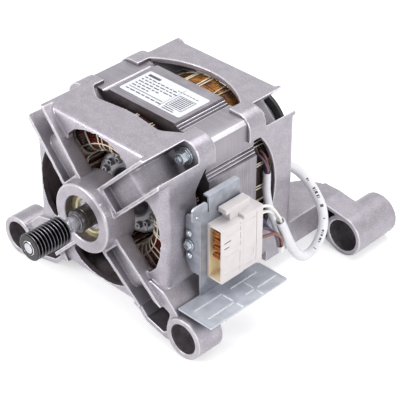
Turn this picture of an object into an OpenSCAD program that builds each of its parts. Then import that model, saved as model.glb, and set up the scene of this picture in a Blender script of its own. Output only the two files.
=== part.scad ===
// Drum motor of a front-loading washing machine: a square lamination stack clamped
// between two die-cast end brackets, with a ribbed belt pulley and a side connector.
// Millimetres. The origin is on the shaft axis at the middle of the pulley,
// +Y runs along the shaft to the rear, +X is the connector side and +Z is up.

/* [Stator] */
// Side of the square lamination stack
stack_side = 110; // [106:0.5:114]
// Length of the stack along the shaft
stack_len = 40; // [34:1:50]
// From the middle of the pulley to the front face of the stack
belt_line = 77; // [75:0.5:84]
// Bore of the stack
stator_bore = 60.8; // [60.6:0.1:62]
// Number of winding slots
slot_count = 24; // [18:1:24]
// Width of the raised flat on each side of the stack
flat_w = 55; // [53:0.5:56]
// How far the corner lands lie below the flats
land_drop = 2.6; // [2.2:0.1:3]
// Width of the cut corners of the stack
corner_cut = 2.7; // [2:0.1:3.5]

/* [Winding] */
// Height of each end winding over the stack
winding_h = 24; // [20:0.5:24.5]
// Radius of the outermost turns
winding_r_out = 47.6; // [46.5:0.1:47.8]
// Radius of the innermost turns
winding_r_in = 32.4; // [32:0.1:34]
// Thickness of one bundle of wire
bundle_d = 3.2; // [2.4:0.1:3.3]
// Turns that show on each end winding
turns = 11; // [8:1:11]

/* [Rotor] */
// Clearance between rotor and stator, on the radius
air_gap = 0.4; // [0.3:0.05:0.6]
// How far the cast end rings lie inside the rotor's face
end_ring_step = 2.5; // [1.5:0.1:4]
// Inner diameter of the cast end rings
end_ring_id = 30; // [26:0.5:34]
// Height of the cast end rings
end_ring_h = 11; // [8:0.5:13]
// Number of cage bars, each with a balancing peg
bar_count = 16; // [12:1:20]
// Diameter of one cage bar
bar_d = 4; // [3:0.1:4.6]

/* [Shaft] */
// Diameter of the nose that carries the pulley
nose_d = 9.5; // [9:0.1:10]
// Diameter of the front journal
front_journal_d = 15; // [15:0.5:15.5]
// Diameter of the rear journal
rear_journal_d = 12; // [12:0.5:12.5]
// Diameter between the journals
shaft_d = 18; // [17.5:0.1:20]
// Diameter of the tail that carries the magnet
tail_d = 8; // [7:0.1:9]
// How far the nose stands out of the pulley
nose_out = 0.6; // [0.2:0.1:2]
// Outer diameter of the dark collar
collar_d = 14; // [12.5:0.1:14.5]

/* [Pulley] */
// Outer diameter over the ribs
pulley_d = 17; // [16.5:0.1:19]
// Length of the pulley
pulley_len = 25; // [24:0.1:27]
// Distance from groove to groove
groove_pitch = 2.34; // [2.2:0.01:2.34]
// Number of grooves
groove_count = 10; // [6:1:10]
// Depth of a groove
groove_depth = 2; // [1.6:0.1:2.3]

/* [Bearings] */
// Outer diameter of the front bearing
front_bearing_od = 35; // [35:0.5:36]
// Width of the front bearing
front_bearing_w = 11; // [11:0.5:12]
// Outer diameter of the rear bearing
rear_bearing_od = 32; // [32:0.5:33]
// Width of the rear bearing
rear_bearing_w = 10; // [10:0.5:11]
// Diameter of the balls
ball_d = 5.95; // [5.8:0.05:6]

/* [Brackets] */
// Thickness of the cast side walls
wall = 3.7; // [3.2:0.1:4]
// Thickness of the web around the windows
web = 4; // [3:0.1:5]
// Depth of the front bracket over the stack
front_depth = 35.7; // [35:0.1:37]
// Depth of the rear bracket over the stack
rear_depth = 34.6; // [34:0.1:38]
// Radius of the rounded outer edges
edge_r = 5; // [3:0.5:6]
// Radius of the corners seen along the shaft
corner_r = 10; // [8:0.5:12]
// How far the corners lap over the stack
lap = 6; // [4:0.5:8]
// Width of a channel arm over its walls
arm_w = 20; // [19:0.5:21]
// Thickness of the channel walls
arm_wall = 2.4; // [2:0.1:3.4]
// Thickness of the channel floor
floor_t = 4; // [3:0.1:4.4]
// Thickness of the corner pads under the bolts
pad_t = 8; // [7:0.5:9]
// Gap between the front walls and the stack at mid side
front_gap = 9.5; // [8:0.5:11]
// Gap between the rear walls and the stack at mid side
rear_gap = 17.5; // [16:0.5:19]

/* [Hubs] */
// Outer diameter of the front hub
front_hub_d = 44.6; // [44:0.1:47]
// Height of the front hub over the stack
front_hub_h = 50; // [49.5:0.5:52]
// Diameter of the mouth in front of the bearing
front_mouth_d = 29.2; // [28:0.1:30]
// Depth of that mouth
front_lip = 6.5; // [5:0.5:7]
// Outer diameter of the rear hub
rear_hub_d = 44; // [43.5:0.5:46]
// Height of the rear hub over the stack
rear_hub_h = 58; // [57:0.5:59]
// Depth of the bearing's seat under the face of the rear hub
rear_seat_depth = 20; // [19.5:0.5:21]

/* [Mounting lugs] */
// From the shaft axis out to the lug axes
lug_x = 73; // [71:0.5:75]
// From the shaft axis down to the lug axes
lug_z = 54; // [52:0.5:55]
// Outer diameter of the front lugs
front_lug_d = 26.8; // [26:0.1:28]
// Bore of the front lugs
front_lug_bore = 19.6; // [18:0.1:20.4]
// Length of the front lugs
front_lug_len = 20; // [18:0.5:24]
// How far the front lugs reach beyond the front walls
front_lug_out = 4.5; // [2:0.5:6]
// Outer diameter of the rear lugs
rear_lug_d = 28; // [27:0.1:29]
// Bore of the rear lugs
rear_lug_bore = 21.6; // [20:0.1:22]
// Length of the rear lugs
rear_lug_len = 37; // [30:0.5:40]
// From the rear face of the stack to the rear lugs
rear_lug_start = 62.6; // [60:0.5:66]
// Depth of the cast box that carries a rear lug
lug_web = 18.5; // [14:0.5:20]

/* [Clamp bolts] */
// From the shaft axis out to each bolt, along X and along Z
bolt_at = 45; // [44.5:0.1:45.5]
// Thread diameter
bolt_d = 5; // [4.6:0.1:5.2]
// Play of the bolts in their holes, on the diameter
bolt_play = 0.5; // [0.2:0.1:0.8]
// Width of the nuts and heads across flats
nut_af = 8; // [7.5:0.1:8.4]
// Height of the nuts and heads
nut_h = 4; // [3.2:0.1:5]
// Thickness of each washer
washer_t = 1; // [0.8:0.1:1.4]
// Bolt thread that stands out of the nut
thread_out = 1.6; // [0.8:0.1:3]

/* [Tacho] */
// Diameter of the magnet on the shaft's tail
magnet_d = 20; // [18:0.5:21]
// Length of the magnet
magnet_len = 7; // [5:0.5:7]
// Diameter of the black cap
cap_d = 54; // [52:0.5:56]
// Thickness of the cap's flange
cap_t = 3; // [2.4:0.1:4]

/* [Connector bracket] */
// Thickness of the steel sheet
sheet = 1.2; // [1:0.1:1.4]
// From the shaft axis out to the back of the upright sheet
upright_x = 66; // [65:0.5:67.5]
// Height of the foot plate's top face
foot_z = -37; // [-38:0.5:-35]
// Width of the foot plate
foot_w = 25; // [22:0.5:27]
// Length of the foot plate
foot_len = 65; // [60:0.5:68]
// From the pulley's middle to the front edge of the foot plate
foot_y = 40.5; // [39:0.5:42]

/* [Connector] */
// Width of the connector, away from the stack
conn_w = 11.6; // [11:0.1:13]
// Height of the connector
conn_h = 37.4; // [36.5:0.1:38.5]
// Length of the front half, the header
header_len = 18; // [16:0.5:20]
// Length of the rear half, the cover
cover_len = 16; // [14:0.5:17]
// Distance from contact to contact
contact_pitch = 5; // [4.6:0.05:5.2]
// Wall of the header
header_wall = 1.2; // [1:0.1:1.3]

/* [Leads] */
// Diameter of the long white sleeve
sleeve_d = 6.2; // [5.4:0.1:6.6]
// Diameter of the short white sleeve
short_sleeve_d = 5; // [4.4:0.1:5.2]
// Diameter of a power lead
power_lead_d = 2; // [1.6:0.1:2]
// Diameter of a signal lead
signal_lead_d = 1.8; // [1.4:0.1:1.9]

/* [Label] */
// Length of the label across the stack
label_w = 50; // [40:0.5:52]
// Width of the label along the shaft
label_l = 26.5; // [20:0.5:30]

/* [Hidden] */

$fn = 64;
// Overshoot of a cut past the face it goes through
cut = 1;
// Gap between pieces that lie against each other
seat_gap = 0.05;
// Running clearance on a radius
run_gap = 0.15;

half = stack_side / 2;
stack_front = belt_line;
stack_rear = belt_line + stack_len;
case_half = half - 0.2;
cavity_half = case_half - wall;
land = half - land_drop;
diagonal = sqrt(2);

// Rounded outlines: each point is [x, y, corner radius]
function unit(v) = v / norm(v);
function corner_arc(p0, p1, p2, r, n) =
  let (
    a = unit(p0 - p1),
    b = unit(p2 - p1),
    angle = acos(a * b),
    t = r / tan(angle / 2),
    c = p1 + unit(a + b) * r / sin(angle / 2),
    s = p1 + a * t - c,
    e = p1 + b * t - c,
    start = atan2(s.y, s.x),
    turn = (atan2(e.y, e.x) - start + 540) % 360 - 180
  )
  [for (i = [0:n]) c + r * [cos(start + turn * i / n), sin(start + turn * i / n)]];
function rounded(pts, n = 5) =
  let (k = len(pts))
  [for (i = [0:k - 1])
    let (
      p = pts[i],
      before = pts[(i + k - 1) % k],
      after = pts[(i + 1) % k]
    )
    each p[2] > 0
      ? corner_arc([before.x, before.y], [p.x, p.y], [after.x, after.y], p[2], n)
      : [[p.x, p.y]]];

// A square with rounded corners, by its half side
module round_square(h, r) {
  square([2 * h, 2 * (h - r)], center = true);
  square([2 * (h - r), 2 * h], center = true);
  for (sx = [-1, 1], sy = [-1, 1])
    translate([sx * (h - r), sy * (h - r)]) circle(r);
}

// The two end brackets are drawn with X across, Y up and Z away from the stack
module at_front() {
  translate([0, stack_front, 0]) rotate([90, 0, 0]) children();
}
module at_rear() {
  translate([0, stack_rear, 0]) rotate([90, 0, 180]) children();
}
// Along the shaft, from y, in the row's own frame
module along_y(y) {
  translate([0, y, 0]) rotate([-90, 0, 0]) children();
}

/* Stack and winding */

// One side of the stack from its middle to the corner: flat, two grooves, land, cut corner
flat_half = flat_w / 2;
groove_step = 1.6;
groove_drop = 1.9;
side_points = [
  [flat_half, half],
  [flat_half + 0.7, half - groove_drop],
  [flat_half + groove_step, half - 0.9],
  [flat_half + groove_step + 0.9, half - groove_drop - 1],
  [flat_half + 2 * groove_step + 0.2, half - 1.8],
  [flat_half + 2 * groove_step + 1, land - 0.8],
  [flat_half + 2 * groove_step + 2.2, land],
  [land - corner_cut, land]
];
function mirrored(pts) = [for (i = [len(pts) - 1:-1:0]) [pts[i].y, pts[i].x]];
quarter_points = concat(side_points, mirrored(side_points));
function quarter_turn(pts, q) = [for (p = pts) q == 0 ? p : quarter_turn([[p.y, -p.x]], q - 1)[0]];

module stack_outline(grow = 0) {
  polygon([for (q = [0:3]) each quarter_turn(quarter_points, q)]);
  if (grow > 0)
    for (q = [0:3])
      rotate(90 * q)
        translate([-flat_half - 9, land - 1]) square([2 * flat_half + 18, half - land + 1 + grow]);
}

slot_pitch = 360 / slot_count;
slot_r_in = stator_bore / 2 + 1.6;
slot_r_out = 45;
tooth_w = 4;
bar_play = 0.3;
function slot_half(r, play) = (PI * r / slot_count - tooth_w / 2) - play;

module slot_outline(play) {
  polygon([
    [slot_r_in + play, -slot_half(slot_r_in, play)],
    [slot_r_out, -slot_half(slot_r_out, play)],
    [slot_r_out, slot_half(slot_r_out, play)],
    [slot_r_in + play, slot_half(slot_r_in, play)]
  ]);
  translate([slot_r_out, 0]) circle(slot_half(slot_r_out, play), $fn = 24);
}

module stator_core() {
  slot_mouth = 2.2;
  color("#8f8d93")
  along_y(stack_front)
    linear_extrude(stack_len)
      difference() {
        stack_outline();
        circle(stator_bore / 2);
        for (i = [0:slot_count - 1])
          rotate(i * slot_pitch) {
            slot_outline(0);
            translate([stator_bore / 2 - cut, -slot_mouth / 2]) square([3.5, slot_mouth]);
          }
        for (sx = [-1, 1], sy = [-1, 1])
          translate([sx * bolt_at, sy * bolt_at]) circle((bolt_d + bolt_play) / 2);
      }
}

// The core under the turns, on each end of the slots
turn_gap = 0.9;
core_r_out = winding_r_out - bundle_d / 2 - turn_gap;
core_r_in = winding_r_in + bundle_d / 2 + turn_gap;
core_top = winding_h - bundle_d - turn_gap;
core_foot = 1;

module end_core() {
  round_r = 3;
  rotate_extrude()
    polygon(rounded([
      [core_r_in, core_foot, 0],
      [core_r_out, core_foot, 0],
      [core_r_out, core_top, round_r],
      [core_r_in, core_top, round_r]
    ], 4));
}

module winding_core() {
  color("#4a2017") {
    at_front() end_core();
    at_rear() end_core();
    along_y(stack_front - core_foot)
      linear_extrude(stack_len + 2 * core_foot)
        for (i = [0:slot_count - 1])
          rotate(i * slot_pitch) slot_outline(bar_play);
  }
}

// The outer turns: one tube that winds round the end core from its outer to its inner side.
// A place on the core's side is given by its distance along the side, from the outer foot.
turn_round = 6;
ring_steps = 24;
foot_bend = 2.4;
first_turn = bundle_d + foot_bend + 0.35;
side_straight = winding_h - bundle_d / 2 - turn_round - first_turn;
top_straight = winding_r_out - winding_r_in - 2 * turn_round;
quarter_len = PI * turn_round / 2;
side_len = 2 * side_straight + 2 * quarter_len + top_straight;
turn_pitch = side_len / turns;
top_h = winding_h - bundle_d / 2;

// [radius, height, outward direction as an angle from the radius]
function side_place(s) =
  s < side_straight
    ? [winding_r_out, first_turn + s, 0]
  : s < side_straight + quarter_len
    ? let (a = 90 * (s - side_straight) / quarter_len)
      [winding_r_out - turn_round * (1 - cos(a)), top_h - turn_round * (1 - sin(a)), a]
  : s < side_straight + quarter_len + top_straight
    ? [winding_r_out - turn_round - (s - side_straight - quarter_len), top_h, 90]
  : s < side_straight + 2 * quarter_len + top_straight
    ? let (a = 90 * (s - side_straight - quarter_len - top_straight) / quarter_len)
      [winding_r_in + turn_round * (1 - sin(a)), top_h - turn_round * (1 - cos(a)), 90 + a]
  : [winding_r_in, first_turn + side_len - s, 180];

function round_place(r, h, angle) = [r * cos(angle), r * sin(angle), h];
function turn_point(s, angle) =
  let (p = side_place(s))
  round_place(p[0], p[1], angle);
function turn_outward(s, angle) =
  let (a = side_place(s)[2])
  [cos(a) * cos(angle), cos(a) * sin(angle), sin(a)];

// The ends leave the stack square to it and bend into the first and last turn
foot_start = 0.35;
function foot_points(r, angle, way) = concat(
  [round_place(r, foot_start, angle)],
  [for (i = [0:3])
    round_place(
      r,
      foot_start + bundle_d + foot_bend * sin(30 * i),
      angle + way * foot_bend * (1 - cos(30 * i)) * 180 / (PI * r)
    )]);
foot_angle = slot_pitch / 2;
lead_in_out = foot_bend * 180 / (PI * winding_r_out);
lead_in_in = foot_bend * 180 / (PI * winding_r_in);
last_angle = foot_angle + lead_in_out + 360 * turns;
turn_steps = ring_steps * turns;
end_tooth = round((last_angle + lead_in_in) / slot_pitch - 0.5) * slot_pitch + slot_pitch / 2;
sweep_angle = end_tooth - lead_in_in - foot_angle - lead_in_out;
function turn_angle(i) = foot_angle + lead_in_out + sweep_angle * i / turn_steps;
function inner_foot() =
  let (f = foot_points(winding_r_in, end_tooth, -1))
  [for (i = [len(f) - 2:-1:0]) f[i]];
wound_points = concat(
  foot_points(winding_r_out, foot_angle, 1),
  [for (i = [1:turn_steps]) turn_point(side_len * i / turn_steps, turn_angle(i))],
  inner_foot());
foot_n = 5;
wound_outward = concat(
  [for (i = [1:foot_n]) turn_outward(0, foot_angle)],
  [for (i = [1:turn_steps]) turn_outward(side_len * i / turn_steps, turn_angle(i))],
  [for (i = [1:foot_n - 1]) turn_outward(side_len, end_tooth)]);

// Least distance between two turns, less the thickness of the bundle
least_turn_gap = min([for (i = [0:len(wound_points) - 1])
  for (j = [i + ring_steps - 4:min(i + ring_steps + 4, len(wound_points) - 1)])
    if (j > i + 8) norm(wound_points[i] - wound_points[j])]) - bundle_d;
echo(least_turn_gap = least_turn_gap);

// A tube swept along points, with a given outward direction at each of them
function along(pts, i) = unit(pts[min(i + 1, len(pts) - 1)] - pts[max(i - 1, 0)]);
function tube_ring(p, ahead, outward, r, sides) =
  let (
    b = unit(cross(ahead, outward)),
    n = cross(b, ahead)
  )
  [for (k = [0:sides - 1]) p + r * (cos(360 * k / sides) * n + sin(360 * k / sides) * b)];
module swept_tube(pts, outwards, r, sides) {
  k = len(pts);
  ring_points = [for (i = [0:k - 1]) each tube_ring(pts[i], along(pts, i), outwards[i], r, sides)];
  side_faces = [for (i = [0:k - 2], s = [0:sides - 1])
    let (
      a = i * sides + s,
      b = i * sides + (s + 1) % sides
    )
    each [[a, a + sides, b], [b, a + sides, b + sides]]];
  caps = concat(
    [for (s = [1:sides - 2]) [0, s, s + 1]],
    [for (s = [1:sides - 2]) [(k - 1) * sides, (k - 1) * sides + s + 1, (k - 1) * sides + s]]);
  polyhedron(points = ring_points, faces = concat(side_faces, caps));
}

module wound_turns() {
  swept_tube(wound_points, wound_outward, bundle_d / 2, 6);
}
module front_winding() {
  color("#5e1f1a") at_front() wound_turns();
}
module rear_winding() {
  color("#b87326") at_rear() wound_turns();
}

/* Rotor */

rotor_r = stator_bore / 2 - air_gap;
end_ring_d = 2 * (rotor_r - end_ring_step);
bar_r = rotor_r - bar_d / 2 - 1.6;
bar_fit = 0.05;
module around(n, r, start = 0) {
  for (i = [0:n - 1])
    rotate(start + i * 360 / n) translate([r, 0]) children();
}

module rotor_core() {
  color("#77757b")
  along_y(stack_front)
    linear_extrude(stack_len)
      difference() {
        circle(rotor_r);
        circle(shaft_d / 2);
        around(bar_count, bar_r) circle(bar_d / 2 + bar_fit);
      }
}

peg_h = 2.2;
peg_d = 4.4;
peg_hole_d = 2;
ring_mid = (end_ring_d + end_ring_id) / 4;
peg_r = max(ring_mid, end_ring_id / 2 + peg_d / 2 + 0.3);
module end_ring() {
  difference() {
    union() {
      rotate_extrude()
        polygon(rounded([
          [end_ring_id / 2, 0, 0],
          [end_ring_d / 2, 0, 0],
          [end_ring_d / 2, end_ring_h, 2],
          [end_ring_id / 2, end_ring_h, 1.2]
        ], 3));
      around(bar_count, peg_r) cylinder(h = end_ring_h + peg_h, d = peg_d, $fn = 20);
    }
    around(bar_count, peg_r)
      translate([0, 0, end_ring_h]) cylinder(h = peg_h + cut, d = peg_hole_d, $fn = 16);
  }
}
module rotor_cage() {
  color("#b9b6bb") {
    at_front() end_ring();
    at_rear() end_ring();
    along_y(stack_front - cut)
      linear_extrude(stack_len + 2 * cut)
        around(bar_count, bar_r) circle(bar_d / 2, $fn = 20);
  }
}

/* Bearings and shaft, from front to rear */

front_hub_face = stack_front - front_hub_h;
front_bearing_y = front_hub_face + front_lip;
front_bearing_end = front_bearing_y + front_bearing_w;
rear_seat_start = rear_hub_h - rear_seat_depth;
rear_bearing_y = stack_rear + rear_seat_start + 0.8;
rear_bearing_end = rear_bearing_y + rear_bearing_w;
rear_hub_face = stack_rear + rear_hub_h;
pulley_front = -pulley_len / 2;
pulley_rear = pulley_len / 2;
collar_front = front_hub_face - 4;
journal_step = front_bearing_y - 0.6;
magnet_y = rear_bearing_end + 1.2;
tail_end = magnet_y + magnet_len + 0.8;
collar_bore = nose_d + 0.5;

module shaft() {
  chamfer = 0.5;
  nose_r = nose_d / 2;
  relief_r = nose_r - 0.5;
  relief_w = 1.2;
  relief_y = pulley_rear + 3.6;
  seat_r = collar_bore / 2;
  front = pulley_front - nose_out;
  color("#d6d6da")
  rotate([-90, 0, 0])
    rotate_extrude()
      polygon([
        [0, front],
        [nose_r - chamfer, front],
        [nose_r, front + chamfer],
        [nose_r, relief_y],
        [relief_r, relief_y],
        [relief_r, relief_y + relief_w],
        [nose_r, relief_y + relief_w],
        [nose_r, collar_front + 0.2],
        [seat_r, collar_front + 0.2],
        [seat_r, journal_step],
        [front_journal_d / 2, journal_step],
        [front_journal_d / 2, front_bearing_end],
        [shaft_d / 2, front_bearing_end],
        [shaft_d / 2, rear_bearing_y],
        [rear_journal_d / 2, rear_bearing_y],
        [rear_journal_d / 2, rear_bearing_end + 0.6],
        [tail_d / 2, rear_bearing_end + 0.6],
        [tail_d / 2, tail_end - chamfer],
        [tail_d / 2 - chamfer, tail_end],
        [0, tail_end]
      ]);
}

module drive_pulley() {
  r = pulley_d / 2;
  rim = 0.5;
  flat = 0.35;
  first = -(groove_count - 1) / 2 * groove_pitch;
  slope = groove_pitch / 2 - flat / 2;
  grooves = [for (i = [0:groove_count - 1])
    let (y = first + i * groove_pitch)
    each [
      [r, y - slope],
      [r - groove_depth, y - 0.25],
      [r - groove_depth, y + 0.25],
      [r, y + slope]
    ]];
  key_w = 1.6;
  color("#141416")
  difference() {
    rotate([-90, 0, 0])
      rotate_extrude()
        polygon(concat(
          [[nose_d / 2, pulley_front], [r - rim, pulley_front], [r, pulley_front + rim]],
          grooves,
          [[r, pulley_rear - rim], [r - rim, pulley_rear], [nose_d / 2, pulley_rear]]));
    rotate([0, 135, 0])
      translate([nose_d / 2 - 0.2, pulley_front - cut, -key_w / 2]) cube([r, 1.6 + cut, key_w]);
  }
}

module shaft_collar() {
  color("#3a383b")
  along_y(collar_front)
    difference() {
      cylinder(h = journal_step - collar_front, d = collar_d);
      translate([0, 0, -cut]) cylinder(h = journal_step - collar_front + 2 * cut, d = collar_bore);
    }
}

// A sealed ball bearing by its bore, outer diameter and width, from z = 0
function pitch_r(bore, od) = (bore + od) / 4;
shoulder = 2.7;
groove_play = 0.08;
seal_t = 0.8;
seal_seat = 0.5;
seal_deep = 0.2;
module raceway(bore, od, w) {
  rotate_extrude()
    translate([pitch_r(bore, od), w / 2]) circle(ball_d / 2 + groove_play, $fn = 40);
}
module bearing_outer(bore, od, w) {
  r_in = pitch_r(bore, od) + shoulder;
  difference() {
    cylinder(h = w, d = od);
    translate([0, 0, -cut]) cylinder(h = w + 2 * cut, r = r_in);
    for (z = [-cut, w - seal_t - seal_deep])
      translate([0, 0, z]) cylinder(h = cut + seal_t + seal_deep, r = r_in + seal_seat);
    raceway(bore, od, w);
  }
}
module bearing_inner(bore, od, w) {
  r_out = pitch_r(bore, od) - shoulder;
  difference() {
    cylinder(h = w, r = r_out);
    translate([0, 0, -cut]) cylinder(h = w + 2 * cut, d = bore);
    raceway(bore, od, w);
  }
}
module bearing_balls(bore, od, w, n) {
  around(n, pitch_r(bore, od)) translate([0, 0, w / 2]) sphere(d = ball_d, $fn = 32);
}
module bearing_cage(bore, od, w, n) {
  p = pitch_r(bore, od);
  cage_h = ball_d + 1.5;
  difference() {
    translate([0, 0, (w - cage_h) / 2]) cylinder(h = cage_h, r = p + 1.1);
    translate([0, 0, -cut]) cylinder(h = w + 2 * cut, r = p - 1.1);
    around(n, p) translate([0, 0, w / 2]) sphere(d = ball_d + 0.3, $fn = 32);
  }
}
module bearing_seals(bore, od, w) {
  p = pitch_r(bore, od);
  for (z = [seal_deep, w - seal_deep - seal_t])
    translate([0, 0, z])
      difference() {
        cylinder(h = seal_t, r = p + shoulder + seal_seat - seat_gap);
        translate([0, 0, -cut]) cylinder(h = seal_t + 2 * cut, r = p - shoulder + run_gap);
      }
}

front_balls = 8;
rear_balls = 7;
module front_bearing_outer() {
  color("#9d9b9e") along_y(front_bearing_y) bearing_outer(front_journal_d, front_bearing_od, front_bearing_w);
}
module front_bearing_inner() {
  color("#c8c8cc") along_y(front_bearing_y) bearing_inner(front_journal_d, front_bearing_od, front_bearing_w);
}
module front_bearing_balls() {
  color("#d9d9dd")
  along_y(front_bearing_y) bearing_balls(front_journal_d, front_bearing_od, front_bearing_w, front_balls);
}
module front_bearing_cage() {
  color("#a8843c")
  along_y(front_bearing_y) bearing_cage(front_journal_d, front_bearing_od, front_bearing_w, front_balls);
}
module front_bearing_seals() {
  color("#d8cfa4") along_y(front_bearing_y) bearing_seals(front_journal_d, front_bearing_od, front_bearing_w);
}
module rear_bearing_outer() {
  color("#9d9b9e") along_y(rear_bearing_y) bearing_outer(rear_journal_d, rear_bearing_od, rear_bearing_w);
}
module rear_bearing_inner() {
  color("#c8c8cc") along_y(rear_bearing_y) bearing_inner(rear_journal_d, rear_bearing_od, rear_bearing_w);
}
module rear_bearing_balls() {
  color("#d9d9dd")
  along_y(rear_bearing_y) bearing_balls(rear_journal_d, rear_bearing_od, rear_bearing_w, rear_balls);
}
module rear_bearing_cage() {
  color("#a8843c")
  along_y(rear_bearing_y) bearing_cage(rear_journal_d, rear_bearing_od, rear_bearing_w, rear_balls);
}
module rear_bearing_seals() {
  color("#d8cfa4") along_y(rear_bearing_y) bearing_seals(rear_journal_d, rear_bearing_od, rear_bearing_w);
}

// Spring washer between the rear bearing and the shoulder of its seat
washer_free = 0.8;
shoulder_d = rear_bearing_od - 6;
module wave_washer() {
  t = 0.35;
  color("#8d8a84")
  along_y(stack_rear + rear_seat_start)
    rotate_extrude()
      polygon([
        [shoulder_d / 2 + 0.4, seat_gap],
        [rear_bearing_od / 2 - 0.3, washer_free - t - seat_gap],
        [rear_bearing_od / 2 - 0.3, washer_free - seat_gap],
        [shoulder_d / 2 + 0.4, t + seat_gap]
      ]);
}

/* Tacho */

chamber_d = rear_bearing_od + 5;
chamber_y = rear_bearing_end + 0.6;
screw_r = cap_d / 2 - 3.4;
screw_d = 3;
boss_d = 7;

module tacho_magnet() {
  color("#2b2b2d")
  along_y(magnet_y)
    difference() {
      cylinder(h = magnet_len, d = magnet_d);
      translate([0, 0, -cut]) cylinder(h = magnet_len + 2 * cut, d = tail_d);
    }
}
module tacho_coil() {
  coil_h = rear_hub_face - seat_gap - magnet_y;
  flange = 1;
  color("#3c4a3f")
  along_y(magnet_y)
    difference() {
      rotate_extrude()
        polygon([
          [magnet_d / 2 + 0.6, 0],
          [chamber_d / 2 - seat_gap, 0],
          [chamber_d / 2 - seat_gap, flange],
          [chamber_d / 2 - 1.6, flange],
          [chamber_d / 2 - 1.6, coil_h - flange],
          [chamber_d / 2 - seat_gap, coil_h - flange],
          [chamber_d / 2 - seat_gap, coil_h],
          [magnet_d / 2 + 0.6, coil_h]
        ]);
    }
}
module tacho_cap() {
  color("#1d1d1f")
  along_y(rear_hub_face)
    difference() {
      union() {
        cylinder(h = cap_t, d = cap_d);
        cylinder(h = cap_t + 2.4, d = chamber_d - 4);
      }
      translate([0, 0, -cut]) cylinder(h = cap_t + cut, d = chamber_d - 8);
      for (side = [-1, 1])
        translate([side * screw_r, 0, -cut]) cylinder(h = cap_t + 2 * cut, d = screw_d + 0.4);
    }
}
module tacho_screws() {
  color("#c2c6cc")
  along_y(rear_hub_face)
    for (side = [-1, 1])
      translate([side * screw_r, 0, 0])
        difference() {
          union() {
            translate([0, 0, -8]) cylinder(h = 9 + cap_t, d = screw_d - 0.1);
            translate([0, 0, cap_t + seat_gap]) cylinder(h = 1.8, d = 5.6);
          }
          translate([0, 0, cap_t + 2]) cube([3.6, 0.8, 2], center = true);
          translate([0, 0, cap_t + 2]) cube([0.8, 3.6, 2], center = true);
        }
}

/* End brackets */

arm_half = arm_w / 2;
channel_half = arm_half - arm_wall;
pad_start = 54;
bolt_r = bolt_at * diagonal;

// Side walls and front web before the arms are added: a window runs a little under the
// arms on both sides
under_arm = 0.4;
module window_outline(arc_r, arc_mid) {
  side = (arm_half - under_arm) * diagonal;
  arc_to = atan2(26.2, 32.6);
  bow = [for (i = [-2:2]) [arc_r * sin(i * arc_to / 3), arc_mid + arc_r * cos(i * arc_to / 3), 0]];
  edge_x = arc_r * sin(arc_to);
  polygon(rounded(concat(
    [[0, side, 0], [-edge_x, edge_x + side, 4]],
    bow,
    [[edge_x, edge_x + side, 4]]), 4));
}

module bracket_block(depth) {
  far = case_half + lap;
  intersection() {
    translate([0, 0, -lap]) linear_extrude(depth + lap) round_square(case_half, corner_r);
    rotate([90, 0, 90]) translate([0, 0, -far])
      linear_extrude(2 * far) block_side(depth);
    rotate([90, 0, 0]) translate([0, 0, -far])
      linear_extrude(2 * far) block_side(depth);
  }
}
module block_side(depth) {
  translate([-case_half, -lap]) square([2 * case_half, lap + depth - edge_r]);
  translate([-case_half + edge_r, -lap]) square([2 * (case_half - edge_r), lap + depth]);
  for (side = [-1, 1])
    translate([side * (case_half - edge_r), depth - edge_r]) circle(edge_r);
}

module bracket_walls(depth, scoop, hub_d) {
  arc_mid = 9.2;
  arc_r = cavity_half - arc_mid + 0.1;
  far = half + lap;
  difference() {
    bracket_block(depth);
    translate([0, 0, -lap - cut]) linear_extrude(lap + cut) stack_outline(1);
    translate([0, 0, -seat_gap]) linear_extrude(depth - web + seat_gap) round_square(cavity_half, 7);
    translate([0, 0, depth - web - cut])
      linear_extrude(web + 2 * cut)
        for (q = [0:3]) rotate(90 * q) window_outline(arc_r, arc_mid);
    rotate([90, 0, 0]) translate([0, 0, -far]) linear_extrude(2 * far) polygon(scoop);
    rotate([90, 0, 90]) translate([0, 0, -far]) linear_extrude(2 * far) polygon(scoop);
  }
}

// Where the walls stop short of the stack, seen from the side
scoop_half = 38;
front_scoop = rounded([
  [-scoop_half, -lap - cut, 0],
  [-scoop_half, 2.5, 2.4],
  [-scoop_half + 12, front_gap + 1.5, 8],
  [0, front_gap - 2, 60],
  [scoop_half - 12, front_gap + 1.5, 8],
  [scoop_half, 2.5, 2.4],
  [scoop_half, -lap - cut, 0]
]);
scoop_rise = rear_gap - 3.5;
scoop_r = (scoop_half * scoop_half + scoop_rise * scoop_rise) / (2 * scoop_rise);
scoop_angle = asin(scoop_half / scoop_r);
rear_scoop = concat(
  [[-scoop_half, -lap - cut]],
  [for (i = [-6:6])
    [scoop_r * sin(scoop_angle * i / 6), rear_gap - scoop_r + scoop_r * cos(scoop_angle * i / 6)]],
  [[scoop_half, -lap - cut]]);

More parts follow.
